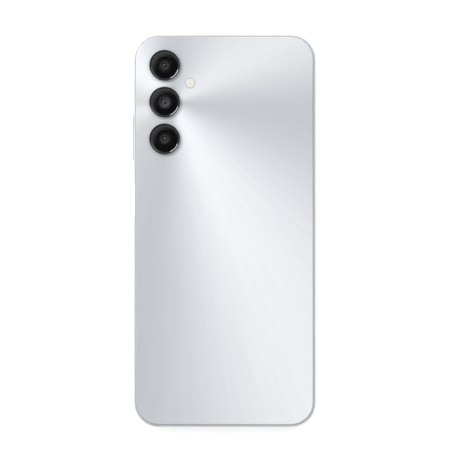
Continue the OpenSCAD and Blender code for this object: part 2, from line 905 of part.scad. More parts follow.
module microphones() {
    color("Gold") {
        translate([mic_x - mic_size.x / 2, sub_y + 0.1, board_top]) cube(mic_size);
        translate([top_mic_x - mic_size.x / 2, board_far_y - mic_size.y - 0.1, board_top]) cube(mic_size);
    }
}

module earpiece_box() {
    lo = [earpiece_x, earpiece_y, floor_z];
    hi = lo + earpiece_size;
    wall = [earpiece_wall, earpiece_wall, earpiece_wall];
    color("DimGray")
        difference() {
            pad(lo, hi, 0.8);
            block(lo + wall, hi - wall);
            block(lo + [2, 4, -1], lo + [8, 5.2, earpiece_wall + over]);
        }
}

module earpiece_diaphragm() {
    margin = earpiece_wall + cone_gap;
    color("DarkSlateGray")
        pad([earpiece_x + margin, earpiece_y + margin, floor_z + 1.3],
            [earpiece_x + earpiece_size.x - margin, earpiece_y + earpiece_size.y - margin,
                floor_z + 1.5], 0.6);
}

module earpiece_mesh() {
    edge_y = half_h - glass_rim - glass_gap;
    color("Black")
        block([-slit_w / 2 + 0.05, edge_y - slit_t + 0.05, glass_t - 0.3],
            [slit_w / 2 - 0.05, edge_y - 0.05, glass_t - 0.1]);
}

module vibration_motor_case() {
    color("Silver") {
        difference() {
            post(motor_x, motor_y, motor_z, motor_z + motor_h, motor_r);
            post(motor_x, motor_y, motor_z + motor_wall, motor_z + motor_h - motor_wall,
                motor_r - motor_wall);
        }
        post(motor_x, motor_y, motor_z + over, motor_z - over + motor_h, shaft_r);
    }
}

module vibration_rotor() {
    low = motor_z + motor_wall + 0.2;
    high = motor_z + motor_h - motor_wall - 0.2;
    weight_r = motor_r - motor_wall - 0.4;
    color("DarkGoldenrod")
        difference() {
            union() {
                intersection() {
                    post(motor_x, motor_y, low, high, weight_r);
                    block([motor_x - motor_r, motor_y, low - 1],
                        [motor_x + motor_r, motor_y + motor_r, high + 1]);
                }
                post(motor_x, motor_y, low, high, shaft_r + 0.7);
            }
            post(motor_x, motor_y, low - 1, high + 1, shaft_r + pivot_gap);
        }
}

module main_board() {
    color("DarkGreen")
        difference() {
            union() {
                block([board_x, board_y, board_z], [board_right, board_step_y, board_top]);
                block([board_x, board_step_y - 1, board_z], [-4.4, board_far_y, board_top]);
                fitted_block([earpiece_x + earpiece_size.x + 0.9, board_step_y - 1, board_z],
                    [board_right, board_far_y, board_top], wall_t + 0.8);
            }
            for (at = upper_screws) post(at.x, at.y, board_z - 1, board_top + 1, stud_r + 0.1);
        }
}

// Thin steel can over part of a board
module shield(lo, hi) {
    skin = [0.2, 0.2, 0.2];
    difference() {
        pad(lo, hi, 0.8);
        block(lo + [0.2, 0.2, -1], hi - skin);
    }
}

module processor_shield() {
    color("LightGray")
        shield([cage_x + 7, cage_far_y + 1.6, board_top],
            [board_right - 5.2, board_step_y - 1, board_top + 1.7]);
}

module radio_shield() {
    color("LightGray")
        shield([board_x + 1.6, board_y + 5.6, board_top], [cage_x - 1, cage_far_y - 0.6, board_top + 1.4]);
}

module sub_board() {
    color("DarkGreen")
        difference() {
            union() {
                block([sub_x, sub_y, board_z], [sub_right, sub_far_y, board_top]);
                block([sub_right - 1, sub_arm_y, board_z], [board_right, sub_far_y, board_top]);
            }
            block([-usb_w / 2 - 0.3, -half_h, board_z - 1],
                [usb_w / 2 + 0.3, usb_y + usb_len + 0.15, board_top + 1]);
            for (at = lower_screws) post(at.x, at.y, board_z - 1, board_top + 1, stud_r + 0.1);
        }
}

module board_flex() {
    x0 = strip_x;
    x1 = strip_x + strip_w;
    color("Peru") {
        block([x0, sub_far_y + 0.3, strip_z], [x1, board_y - 0.3, strip_z + flex_t]);
        for (side = [[board_y - 0.3, board_y + 4, -flex_t], [sub_far_y + 0.3, sub_far_y - 4, 0]]) {
            block([x0, side[0] + side[2], strip_z], [x1, side[0] + side[2] + flex_t, board_top + 0.6]);
            block([x0, min(side[0], side[1]), board_top + 0.6 - flex_t],
                [x1, max(side[0], side[1]), board_top + 0.6]);
            block([x0, side[1] - 1, board_top], [x1, side[1] + 1, board_top + 0.6]);
        }
    }
}

module battery() {
    round_in = 0.8;
    corner = 1.5;
    color("DimGray")
        hull() {
            pad([-battery_half_w, battery_bottom, floor_z + round_in],
                [battery_half_w, battery_top, floor_z + battery_t - round_in], corner, $fn = soft_fn);
            pad([-battery_half_w + round_in, battery_bottom + round_in, floor_z],
                [battery_half_w - round_in, battery_top - round_in, floor_z + battery_t], corner,
                $fn = soft_fn);
        }
}

module battery_flex() {
    flex_z = rib_top + 0.1;
    color("Peru") {
        block([-battery_half_w + 6, battery_top + 0.1, floor_z + flex_lift],
            [battery_half_w - 6, bay_top - 0.7, rib_top - 0.3]);
        block([-3, bay_top - 1.7, rib_top - 0.3 - over], [3, bay_top - 0.7, flex_z + flex_t]);
        block([-3, bay_top - 1.7, flex_z], [3, board_y + 3.6, flex_z + flex_t]);
        block([-3, board_y + 1.2, board_top], [3, board_y + 3.6, flex_z + over]);
    }
}

// Screw foot of a cover: a pillar with a seat for the screw head
module cover_foot(at) {
    post(at.x, at.y, stud_top, cover_z + over, foot_r);
}

module cover_foot_bore(at) {
    post(at.x, at.y, stud_top - 1, stud_top + foot_t + over, screw_r + 0.1);
    post(at.x, at.y, stud_top + foot_t, cover_top + 1, screw_well_r);
}

module upper_cover() {
    color("DarkSlateGray")
        difference() {
            union() {
                fitted_block([board_x, board_y, cover_z], [in_w, in_h, cover_top], wall_t + 0.4);
                for (at = upper_screws) cover_foot(at);
                post(flash_x, flash_y, led_z - 0.5, cover_z + over, 3.2);
            }
            for (at = upper_screws) cover_foot_bore(at);
            post(flash_x, flash_y, led_z, cover_top + 1, 2.7);
        }
}

module lower_cover() {
    color("DarkSlateGray")
        difference() {
            union() {
                fitted_block([sub_x, -in_h, cover_z], [in_w, sub_far_y, cover_top], wall_t + 0.4);
                for (at = lower_screws) cover_foot(at);
            }
            for (at = lower_screws) cover_foot_bore(at);
        }
}

module cover_screws() {
    seat_z = stud_top + foot_t;
    color("Silver")
        for (at = concat(upper_screws, lower_screws)) {
            post(at.x, at.y, seat_z - screw_len, seat_z + over, screw_r);
            difference() {
                post(at.x, at.y, seat_z, seat_z + screw_head_t, screw_head_r);
                for (turn = [0, 90])
                    translate([at.x, at.y, seat_z + screw_head_t])
                        rotate([0, 0, turn]) cube([1.3, 0.3, 0.5], center = true);
            }
        }
}

side_frame();
rear_panel();
rear_panel_tape();
mid_plate();
cover_glass();
cover_glass_tape();
display_panel();
backlight_unit();
display_flex();
camera_ring(0);  // camera_ring_top
camera_ring(1);  // camera_ring_middle
camera_ring(2);  // camera_ring_bottom
camera_window(0);  // camera_window_top
camera_window(1);  // camera_window_middle
camera_window(2);  // camera_window_bottom
camera_dust_seals();
camera_cradle();
main_camera_housing();
main_camera_barrel();
small_camera(camera_y[0]);  // upper_camera_module
small_camera(camera_y[2]);  // lower_camera_module
flash_lens();
flash_led();
front_camera();
volume_key();
power_key();
fingerprint_sensor();
actuator(0);  // volume_up_actuator
actuator(1);  // volume_down_actuator
actuator(2);  // power_actuator
key_switches();
side_key_flex();
sim_tray();
tray_seal();
sim_socket();
eject_slider();
eject_rod();
eject_lever();
usb_c_shell();
usb_c_tongue();
headphone_jack();
loudspeaker_box();
loudspeaker_cone();
speaker_mesh();
microphones();
earpiece_box();
earpiece_diaphragm();
earpiece_mesh();
vibration_motor_case();
vibration_rotor();
main_board();
processor_shield();
radio_shield();
sub_board();
board_flex();
battery();
battery_flex();
upper_cover();
lower_cover();
cover_screws();
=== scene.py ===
import json
import math
import bmesh
import bpy
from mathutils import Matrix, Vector


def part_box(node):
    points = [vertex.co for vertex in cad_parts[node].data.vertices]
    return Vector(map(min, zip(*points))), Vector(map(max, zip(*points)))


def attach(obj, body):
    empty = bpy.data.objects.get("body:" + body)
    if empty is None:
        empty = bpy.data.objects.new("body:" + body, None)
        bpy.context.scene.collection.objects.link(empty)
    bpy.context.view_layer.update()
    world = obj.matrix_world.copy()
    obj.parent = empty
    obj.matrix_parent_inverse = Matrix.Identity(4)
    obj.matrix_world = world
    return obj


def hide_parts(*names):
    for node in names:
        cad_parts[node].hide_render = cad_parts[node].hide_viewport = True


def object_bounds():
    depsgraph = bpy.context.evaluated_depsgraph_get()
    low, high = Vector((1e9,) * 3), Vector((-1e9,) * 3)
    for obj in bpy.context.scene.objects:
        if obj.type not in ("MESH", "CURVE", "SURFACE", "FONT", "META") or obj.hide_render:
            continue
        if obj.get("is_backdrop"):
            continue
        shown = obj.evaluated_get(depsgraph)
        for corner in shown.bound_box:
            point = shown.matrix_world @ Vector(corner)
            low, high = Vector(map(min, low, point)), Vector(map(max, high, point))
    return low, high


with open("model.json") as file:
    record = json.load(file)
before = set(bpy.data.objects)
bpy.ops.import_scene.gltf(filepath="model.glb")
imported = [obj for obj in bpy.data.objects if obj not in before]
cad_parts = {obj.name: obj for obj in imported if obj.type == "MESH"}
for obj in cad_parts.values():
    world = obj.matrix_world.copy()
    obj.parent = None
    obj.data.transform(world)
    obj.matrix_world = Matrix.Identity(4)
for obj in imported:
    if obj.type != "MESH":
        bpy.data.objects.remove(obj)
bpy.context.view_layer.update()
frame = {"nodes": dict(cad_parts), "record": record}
nodes = frame["nodes"]
mm = 0.001

print("loaded the frame with", len(nodes), "pieces")


def toLinear(hexColour):
    channels = [int(hexColour[i:i + 2], 16) / 255 for i in (1, 3, 5)]
    return [c / 12.92 if c <= 0.04045 else ((c + 0.055) / 1.055) ** 2.4 for c in channels] + [1.0]


def addNode(tree, kind, settings=None, links=None):
    node = tree.nodes.new(kind)
    for key, value in (settings or {}).items():
        if isinstance(key, str) and hasattr(node, key):
            setattr(node, key, value)
        else:
            node.inputs[key].default_value = value
    for key, socket in (links or {}).items():
        tree.links.new(socket, node.inputs[key])
    return node


def startMaterial(name, settings):
    material = bpy.data.materials.new(name)
    material.use_nodes = True
    tree = material.node_tree
    tree.nodes.clear()
    surface = addNode(tree, "ShaderNodeBsdfPrincipled", settings)
    addNode(tree, "ShaderNodeOutputMaterial", links={"Surface": surface.outputs[0]})
    place = addNode(tree, "ShaderNodeTexCoord").outputs["Object"]
    return material, tree, surface, place


def setRamp(ramp, stops):
    points = ramp.color_ramp.elements
    points[0].position, points[0].color = stops[0][0], toLinear(stops[0][1])
    points[1].position, points[1].color = stops[-1][0], toLinear(stops[-1][1])
    for position, colour in stops[1:-1]:
        points.new(position).color = toLinear(colour)


# A surface with a fine grain: two near tones, a roughness that varies a little, and a shallow bump
def grainedSurface(name, tones, grain, roughness, bump=0.004, stretch=(1, 1, 1), **settings):
    material, tree, surface, place = startMaterial(name, settings)
    stretched = addNode(tree, "ShaderNodeMapping", {"Scale": stretch}, {"Vector": place})
    noise = addNode(tree, "ShaderNodeTexNoise", {"Scale": 1 / (grain * mm), "Detail": 3.0},
                    {"Vector": stretched.outputs[0]})
    ramp = addNode(tree, "ShaderNodeValToRGB", links={0: noise.outputs[0]})
    setRamp(ramp, [(0.3, tones[0]), (0.7, tones[1])])
    spread = addNode(tree, "ShaderNodeMapRange",
                     {"From Min": 0.3, "From Max": 0.7, "To Min": roughness[0], "To Max": roughness[1]},
                     {"Value": noise.outputs[0]})
    relief = addNode(tree, "ShaderNodeBump", {"Distance": bump * mm, "Strength": 0.6},
                     {"Height": noise.outputs[0]})
    tree.links.new(ramp.outputs[0], surface.inputs["Base Color"])
    tree.links.new(spread.outputs[0], surface.inputs["Roughness"])
    tree.links.new(relief.outputs[0], surface.inputs["Normal"])
    return material


def clearSelection():
    if bpy.context.object and bpy.context.object.mode != "OBJECT":
        bpy.ops.object.mode_set(mode="OBJECT")
    bpy.ops.object.select_all(action="DESELECT")


# The new primitive gets its name, its place goes into its mesh, and it is opened for editing
def openNew(name, scale=(1, 1, 1)):
    piece = bpy.context.object
    piece.name = piece.data.name = name
    piece.scale = scale
    bpy.ops.object.transform_apply(location=True, rotation=True, scale=True)
    bpy.ops.object.mode_set(mode="EDIT")
    bpy.ops.mesh.select_mode(type="VERT")
    bpy.ops.mesh.select_all(action="SELECT")
    return piece


# Selects the vertices, edges or faces for which the test holds
def pick(piece, kind, test):
    if bpy.context.object != piece or piece.mode != "EDIT":
        clearSelection()
        bpy.context.view_layer.objects.active = piece
        piece.select_set(True)
        bpy.ops.object.mode_set(mode="EDIT")
    bpy.ops.mesh.select_mode(type=kind)
    bpy.ops.mesh.select_all(action="DESELECT")
    shape = bmesh.from_edit_mesh(piece.data)
    items = {"VERT": shape.verts, "EDGE": shape.edges, "FACE": shape.faces}[kind]
    for item in items:
        if test(item):
            item.select = True
    shape.select_flush_mode()
    bmesh.update_edit_mesh(piece.data)


def near(a, b, room=0.0015 * mm):
    return abs(a - b) < room


# True for an edge of the rim where a flat end face at a level meets the sides
def rimTest(axis, level):
    def test(edge):
        onLevel = all(near(v.co[axis], level) for v in edge.verts)
        return onLevel and any(abs(f.normal[axis]) < 0.7 for f in edge.link_faces)
    return test


def extrudeBy(move, scale=None, centre=None):
    bpy.ops.mesh.extrude_region_move(TRANSFORM_OT_translate={"value": move})
    if scale:
        bpy.ops.transform.resize(value=scale, center_override=centre)


# Slab with round corners between two levels, its top and bottom rims rounded
def roundedSlab(name, low, high, corner, softTop=0, softBottom=0, steps=20):
    clearSelection()
    middle = (low + high) / 2
    bpy.ops.mesh.primitive_plane_add(size=1, location=(middle.x, middle.y, low.z))
    slab = openNew(name, (high.x - low.x, high.y - low.y, 1))
    bpy.ops.mesh.bevel(offset=corner, segments=steps, affect="VERTICES")
    bpy.ops.mesh.select_all(action="SELECT")
    extrudeBy((0, 0, high.z - low.z))
    bpy.ops.mesh.select_all(action="SELECT")
    bpy.ops.mesh.normals_make_consistent(inside=False)
    for level, soft in ((high.z, softTop), (low.z, softBottom)):
        if soft:
            pick(slab, "EDGE", rimTest(2, level))
            bpy.ops.mesh.bevel(offset=soft, segments=5, affect="EDGES")
    return slab


# Bar along one axis, rounded around that axis, with the rim of its first and last end softened
def roundedBar(name, low, high, axis, corner, softFirst=0, softLast=0, steps=10):
    clearSelection()
    bpy.ops.mesh.primitive_cube_add(size=1, location=(low + high) / 2)
    bar = openNew(name, high - low)
    if corner:
        pick(bar, "EDGE", lambda e: abs((e.verts[0].co - e.verts[1].co).normalized()[axis]) > 0.9)
        bpy.ops.mesh.bevel(offset=corner, segments=steps, affect="EDGES")
    for level, soft in ((low[axis], softFirst), (high[axis], softLast)):
        if soft:
            pick(bar, "EDGE", rimTest(axis, level))
            bpy.ops.mesh.bevel(offset=soft, segments=3, affect="EDGES")
    return bar


# Round piece about an upright axis: a circle extruded and scaled from one (radius, level) in mm to the next
def turned(name, x, y, profile, closed=False, steps=96):
    clearSelection()
    radius, level = profile[0]
    bpy.ops.mesh.primitive_circle_add(vertices=steps, radius=radius * mm, location=(x, y, level * mm))
    piece = openNew(name)
    for nextRadius, nextLevel in profile[1:]:
        share = nextRadius / radius
        extrudeBy((0, 0, (nextLevel - level) * mm), (share, share, 1), (x, y, nextLevel * mm))
        radius, level = nextRadius, nextLevel
    if not closed:
        bpy.ops.mesh.edge_face_add()
        pick(piece, "EDGE", lambda e: e.is_boundary)
        bpy.ops.mesh.edge_face_add()
    bpy.ops.mesh.select_all(action="SELECT")
    bpy.ops.mesh.remove_doubles(threshold=0.0005 * mm)
    bpy.ops.mesh.normals_make_consistent(inside=False)
    return piece


# Widens a cutter's end, so that the edge it leaves has a small chamfer
def flare(cutter, axis, level, way, chamfer):
    pick(cutter, "FACE", lambda f: near(f.calc_center_median()[axis], level) and abs(f.normal[axis]) > 0.9)
    spots = [v.co.copy() for f in bmesh.from_edit_mesh(cutter.data).faces if f.select for v in f.verts]
    low = [min(s[i] for s in spots) for i in range(3)]
    high = [max(s[i] for s in spots) for i in range(3)]
    centre = [(low[i] + high[i]) / 2 for i in range(3)]
    move = [0, 0, 0]
    move[axis] = way * chamfer
    scale = [1 if i == axis else 1 + 2 * chamfer / (high[i] - low[i]) for i in range(3)]
    extrudeBy(move, scale, centre)
    move[axis] = way * mm
    extrudeBy(move)


def joinPieces(pieces):
    clearSelection()
    for piece in pieces:
        piece.select_set(True)
    bpy.context.view_layer.objects.active = pieces[0]
    bpy.ops.object.join()
    return pieces[0]


def applyModifier(piece, kind, **settings):
    clearSelection()
    bpy.context.view_layer.objects.active = piece
    piece.select_set(True)
    modifier = piece.modifiers.new(kind.title(), kind)
    for key, value in settings.items():
        setattr(modifier, key, value)
    bpy.ops.object.modifier_apply(modifier=modifier.name)


def cutAway(piece, cutters):
    for cutter in cutters:
        clearSelection()
        applyModifier(piece, "BOOLEAN", operation="DIFFERENCE", solver="EXACT", object=cutter)
        bpy.data.objects.remove(cutter)


# Smooth across shallow angles with flat faces kept flat, then material and body, and the CAD pieces that
# it stands for are hidden
def finishPiece(piece, material, body, slot, *stands, angle=32):
    clearSelection()
    bpy.context.view_layer.objects.active = piece
    piece.select_set(True)
    bpy.ops.object.shade_smooth_by_angle(angle=math.radians(angle))
    applyModifier(piece, "WEIGHTED_NORMAL", keep_sharp=True)
    if not piece.data.materials:
        piece.data.materials.append(material)
    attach(piece, body)
    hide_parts(*stands)
    return piece


# Gives the faces for which the test holds a second material
def paintFaces(piece, material, test):
    bpy.ops.object.mode_set(mode="OBJECT")
    piece.data.materials.append(material)
    index = len(piece.data.materials) - 1
    for face in piece.data.polygons:
        if test(face):
            face.material_index = index


# A merged copy of a CAD piece with its edges softened
def softenedCopy(name, node, soft, angle=35):
    piece = nodes[node].copy()
    piece.data = nodes[node].data.copy()
    piece.name = piece.data.name = name
    for key in list(piece.keys()):
        del piece[key]
    piece.parent = None
    bpy.context.scene.collection.objects.link(piece)
    piece.data.materials.clear()
    pick(piece, "VERT", lambda v: True)
    bpy.ops.mesh.remove_doubles(threshold=0.001 * mm)
    bpy.ops.mesh.customdata_custom_splitnormals_clear()
    bpy.ops.mesh.dissolve_limited(angle_limit=math.radians(0.5))
    bpy.ops.object.mode_set(mode="OBJECT")
    if soft:
        applyModifier(piece, "BEVEL", width=soft * mm, segments=2, limit_method="ANGLE",
                      angle_limit=math.radians(angle), use_clamp_overlap=True)
    return piece


# Sizes in mm. Real flakes are 0.03 mm wide, and these are larger so that they can be seen at all.
silverPaint = {"flake": 0.12, "cloud": 9, "relief": 0.0015}


# Polycarbonate sprayed silver under a gloss lacquer: pale, with a faint sparkle of fine metal flake
def sprayedSilver(name, tones, roughness=(0.3, 0.38)):
    material, tree, surface, place = startMaterial(
        name, {"Metallic": 0.25, "IOR": 1.5, "Coat Weight": 0.35, "Coat Roughness": 0.12})
    flake = addNode(tree, "ShaderNodeTexVoronoi", {"Scale": 1 / (silverPaint["flake"] * mm)},
                    {"Vector": place})
    cloud = addNode(tree, "ShaderNodeTexNoise", {"Scale": 1 / (silverPaint["cloud"] * mm), "Detail": 2.0},
                    {"Vector": place})
    ramp = addNode(tree, "ShaderNodeValToRGB", links={0: cloud.outputs[0]})
    setRamp(ramp, [(0.35, tones[0]), (0.65, tones[1])])
    speck = addNode(tree, "ShaderNodeMapRange", {"To Min": roughness[0], "To Max": roughness[1]},
                    {"Value": flake.outputs["Color"]})
    relief = addNode(tree, "ShaderNodeBump", {"Distance": silverPaint["relief"] * mm, "Strength": 0.3},
                     {"Height": flake.outputs["Distance"]})
    tree.links.new(ramp.outputs[0], surface.inputs["Base Color"])
    tree.links.new(speck.outputs[0], surface.inputs["Roughness"])
    tree.links.new(relief.outputs[0], surface.inputs["Normal"])
    return material


# The film under the back's lacquer is brushed in rays from one point; the tones that fan out round it are
# painted reflection of the lights in that brushed film
sunray = {
    "centre": (-22.0, 55.0),    # mm, where the rays meet
    "tones": {"dark": "#c5c8cd", "dull": "#cfd1d4", "middle": "#d8d9dc", "pale": "#e6e8eb",
              "bright": "#f3f5f9"},
    # the painted reflection's tone in the middle of each ray, by its direction in degrees anticlockwise from
    # +X
    "rays": [(-180, "middle"), (-165, "pale"), (-135, "dull"), (-100, "dark"), (-65, "bright"), (-5, "dark"),
             (30, "pale"), (90, "dark"), (135, "bright"), (180, "middle")],
    "brushLines": 260,          # across the full turn
    "brushRepeats": 30.0,       # along one metre of ray
    "tone": (0.775, 0.80),      # share of the rays' tones, from the darkest to the palest brush line
    "paintedHighlight": (1.03, 1.0),        # painted highlight: how much brighter the film is painted where the rays meet, and as far away as its reach
    "paintedHighlightReach": 90,            # mm
    "roughness": (0.42, 0.48),
}


def sunraySilver():
    material, tree, surface, place = startMaterial(
        "silver sunray film with painted reflection", {"Metallic": 0.04, "IOR": 1.45, "Specular IOR Level": 0.15,
                                            "Coat Weight": 0.25, "Coat Roughness": 0.08})
    x, y = sunray["centre"]
    centred = addNode(tree, "ShaderNodeMapping", {"Location": (-x * mm, -y * mm, 0)}, {"Vector": place})
    turn = addNode(tree, "ShaderNodeTexGradient", {"gradient_type": "RADIAL"}, {"Vector": centred.outputs[0]})
    # painted reflection: tones set by direction round the rays' centre stand in for the lights seen in the
    # brushed film
    paintedReflectionFan = addNode(tree, "ShaderNodeValToRGB", {}, {0: turn.outputs[1]})
    setRamp(paintedReflectionFan, [((angle + 180) / 360, sunray["tones"][tone]) for angle, tone in sunray["rays"]])
    paintedReflectionFan.color_ramp.interpolation = "EASE"
    reach = addNode(tree, "ShaderNodeVectorMath", {"operation": "LENGTH"}, {0: centred.outputs[0]})
    across = addNode(tree, "ShaderNodeMath", {"operation": "MULTIPLY", 1: sunray["brushLines"]},
                     {0: turn.outputs[1]})
    along = addNode(tree, "ShaderNodeMath", {"operation": "MULTIPLY", 1: sunray["brushRepeats"]},
                    {0: reach.outputs["Value"]})
    lines = addNode(tree, "ShaderNodeCombineXYZ", links={0: across.outputs[0], 1: along.outputs[0]})
    brush = addNode(tree, "ShaderNodeTexNoise", {"Scale": 1.0, "Detail": 2.0}, {"Vector": lines.outputs[0]})
    darkest, palest = sunray["tone"]
    shade = addNode(tree, "ShaderNodeMapRange",
                    {"From Min": 0.3, "From Max": 0.7, "To Min": darkest, "To Max": palest},
                    {"Value": brush.outputs[0]})
    # painted highlight: the film is painted brighter where the rays meet, fading out over the reach
    nearHighlight, farHighlight = sunray["paintedHighlight"]
    paintedHighlight = addNode(tree, "ShaderNodeMapRange",
                   {"From Max": sunray["paintedHighlightReach"] * mm, "To Min": nearHighlight, "To Max": farHighlight},
                   {"Value": reach.outputs["Value"]})
    share = addNode(tree, "ShaderNodeMath", {"operation": "MULTIPLY"},
                    {0: shade.outputs[0], 1: paintedHighlight.outputs[0]})
    tone = addNode(tree, "ShaderNodeVectorMath", {"operation": "SCALE"},
                   {0: paintedReflectionFan.outputs[0], "Scale": share.outputs[0]})
    smoothest, roughest = sunray["roughness"]
    spread = addNode(tree, "ShaderNodeMapRange", {"To Min": smoothest, "To Max": roughest},
                     {"Value": brush.outputs[0]})
    tree.links.new(tone.outputs[0], surface.inputs["Base Color"])
    tree.links.new(spread.outputs[0], surface.inputs["Roughness"])
    return material


finishes = {
    "frame": sprayedSilver("sprayed silver polycarbonate", ("#bbbdc0", "#c0c2c5")),
    "rear_panel": sunraySilver(),
    "key": sprayedSilver("sprayed silver key", ("#c3c6c2", "#c8cbc6")),
    "tray": sprayedSilver("sprayed silver tray", ("#bbbdc0", "#c1c3c6")),
    "sensor": sprayedSilver("hard-coated silver sensor", ("#a9abad", "#b1b3b5"), (0.22, 0.28)),
    # anodised black aluminium, blasted fine
    "camera_ring": grainedSurface("black anodised aluminium", ("#08080a", "#0e0e11"), 0.15, (0.32, 0.42),
                                  bump=0.003, Metallic=0.9),
    "tape": grainedSurface("black foam tape", ("#0c0c0c", "#181818"), 0.25, (0.8, 0.95), bump=0.03),
    "foam": grainedSurface("open-cell black foam", ("#060606", "#151515"), 0.2, (0.85, 1.0), bump=0.05),
    # die-cast magnesium, tumbled
    "plate": grainedSurface("die-cast magnesium", ("#83868a", "#9a9da1"), 0.6, (0.4, 0.6), bump=0.02,
                            Metallic=1.0),
    "inner_plastic": grainedSurface("black glass-filled nylon", ("#111113", "#1b1b1e"), 0.3, (0.5, 0.65),
                                    bump=0.01),
    # stamped stainless sheet, rolled along Y
    "steel": grainedSurface("stamped stainless steel", ("#a9abae", "#c4c6c9"), 0.35, (0.2, 0.32), bump=0.002,
                            stretch=(1, 0.06, 1), Metallic=1.0),
    "shield": grainedSurface("tin-plated sheet", ("#b3b5b8", "#cccdd0"), 0.5, (0.28, 0.42), bump=0.003,
                             stretch=(0.08, 1, 1), Metallic=1.0),
    "screw": grainedSurface("nickel-plated steel", ("#8d8f92", "#a8aaad"), 0.3, (0.2, 0.3), bump=0.002,
                            Metallic=1.0),
    "gold": grainedSurface("gold-plated can", ("#c79a3f", "#dcb35a"), 0.4, (0.18, 0.28), bump=0.002,
                           Metallic=1.0),
    "weight": grainedSurface("sintered tungsten", ("#4a4947", "#5f5d5a"), 0.2, (0.4, 0.55), bump=0.01,
                             Metallic=1.0),
    "flex": grainedSurface("amber polyimide film", ("#9a5412", "#b3661c"), 1.5, (0.25, 0.4), bump=0.004,
                           stretch=(0.2, 1, 1), **{"Coat Weight": 0.4}),
    "membrane": grainedSurface("formed black film", ("#0f0f12", "#17171b"), 0.8, (0.35, 0.5), bump=0.01),
    "seal": grainedSurface("red-brown silicone rubber", ("#5b1410", "#6d1c16"), 0.4, (0.5, 0.65), bump=0.005,
                           **{"Subsurface Weight": 0.05}),
    "battery": grainedSurface("dark wrapped pouch", ("#17181c", "#22242a"), 2.5, (0.3, 0.5), bump=0.03),
    "display": grainedSurface("switched-off display cell", ("#07080b", "#0b0c10"), 3.0, (0.12, 0.18),
                              bump=0.001),
    "backlight": grainedSurface("white reflector sheet", ("#e2e3e4", "#eeefef"), 2.0, (0.35, 0.5),
                                bump=0.002),
    "led": grainedSurface("yellow phosphor", ("#d9b640", "#e8cb62"), 0.15, (0.55, 0.7), bump=0.006),
}


# Blackened wire cloth: crossing wires 0.25 mm apart
def wireCloth(name, pitch=0.25):
    material, tree, surface, place = startMaterial(name, {"Metallic": 1.0})
    oneWave = 0.314     # the wave texture's scale that repeats once a metre
    waves = []
    for direction in ("X", "Z"):
        wave = addNode(tree, "ShaderNodeTexWave",
                       {"bands_direction": direction, "Scale": oneWave / (pitch * mm)}, {"Vector": place})
        waves.append(wave.outputs[1])
    weave = addNode(tree, "ShaderNodeMath", {"operation": "MAXIMUM"}, {0: waves[0], 1: waves[1]})
    ramp = addNode(tree, "ShaderNodeValToRGB", links={0: weave.outputs[0]})
    setRamp(ramp, [(0.4, "#020202"), (0.9, "#3c3c3e")])
    rough = addNode(tree, "ShaderNodeMapRange", {"To Min": 0.7, "To Max": 0.35}, {"Value": weave.outputs[0]})
    relief = addNode(tree, "ShaderNodeBump", {"Distance": 0.06 * mm}, {"Height": weave.outputs[0]})
    tree.links.new(ramp.outputs[0], surface.inputs["Base Color"])
    tree.links.new(rough.outputs[0], surface.inputs["Roughness"])
    tree.links.new(relief.outputs[0], surface.inputs["Normal"])
    return material


# spacings in mm, and the pads' half width as a share of their spacing
circuit = {"padSpacing": 2.6, "padReach": 0.16, "traceSpacing": 2.2, "relief": 0.03}


# Dark green solder mask over copper: straight traces show as a slightly lighter green, pads as tin
def solderMask(name):
    material, tree, surface, place = startMaterial(
        name, {"IOR": 1.5, "Coat Weight": 0.4, "Coat Roughness": 0.15})
    cells = addNode(tree, "ShaderNodeTexVoronoi",
                    {"distance": "CHEBYCHEV", "Scale": 1 / (circuit["padSpacing"] * mm), "Randomness": 0.8},
                    {"Vector": place})
    traces = addNode(tree, "ShaderNodeTexBrick",
                     {"Scale": 1 / (circuit["traceSpacing"] * mm), "Mortar Size": 0.06, "Mortar Smooth": 0.2,
                      "Color1": toLinear("#06321f"), "Color2": toLinear("#083a25"),
                      "Mortar": toLinear("#115a38")}, {"Vector": place})
    pads = addNode(tree, "ShaderNodeMath", {"operation": "LESS_THAN", 1: circuit["padReach"]},
                   {0: cells.outputs["Distance"]})
    tone = addNode(tree, "ShaderNodeMix", {"data_type": "RGBA", "B": toLinear("#b9bbbd")},
                   {"Factor": pads.outputs[0], "A": traces.outputs[0]})
    relief = addNode(tree, "ShaderNodeBump", {"Distance": circuit["relief"] * mm},
                     {"Height": traces.outputs[1]})
    tree.links.new(tone.outputs["Result"], surface.inputs["Base Color"])
    tree.links.new(pads.outputs[0], surface.inputs["Metallic"])
    rough = addNode(tree, "ShaderNodeMapRange", {"To Min": 0.42, "To Max": 0.25}, {"Value": pads.outputs[0]})
    tree.links.new(rough.outputs[0], surface.inputs["Roughness"])
    tree.links.new(relief.outputs[0], surface.inputs["Normal"])
    return material


finishes["mesh"] = wireCloth("blackened wire cloth")
finishes["board"] = solderMask("solder mask on glass fibre")
# strengthened glass with a black print behind it: nearly black, mirror smooth, faint smears in its coating
coatedGlass = {"IOR": 1.52, "Coat Weight": 0.3}
finishes["screen_glass"] = grainedSurface("strengthened glass over black print", ("#050506", "#070709"), 14,
                                          (0.03, 0.07), bump=0.0, **coatedGlass)
finishes["camera_glass"] = grainedSurface("camera glass over black print", ("#030304", "#060607"), 3,
                                          (0.08, 0.12), bump=0.0, IOR=1.5)
finishes["lens_plastic"] = grainedSurface("black lens barrel", ("#0d0d0f", "#161618"), 0.2, (0.35, 0.5),
                                          bump=0.003)
clearWindow = grainedSurface("clear camera glass", ("#050506", "#08080a"), 3, (0.05, 0.08), bump=0.0,
                             IOR=1.5, Alpha=0.15)
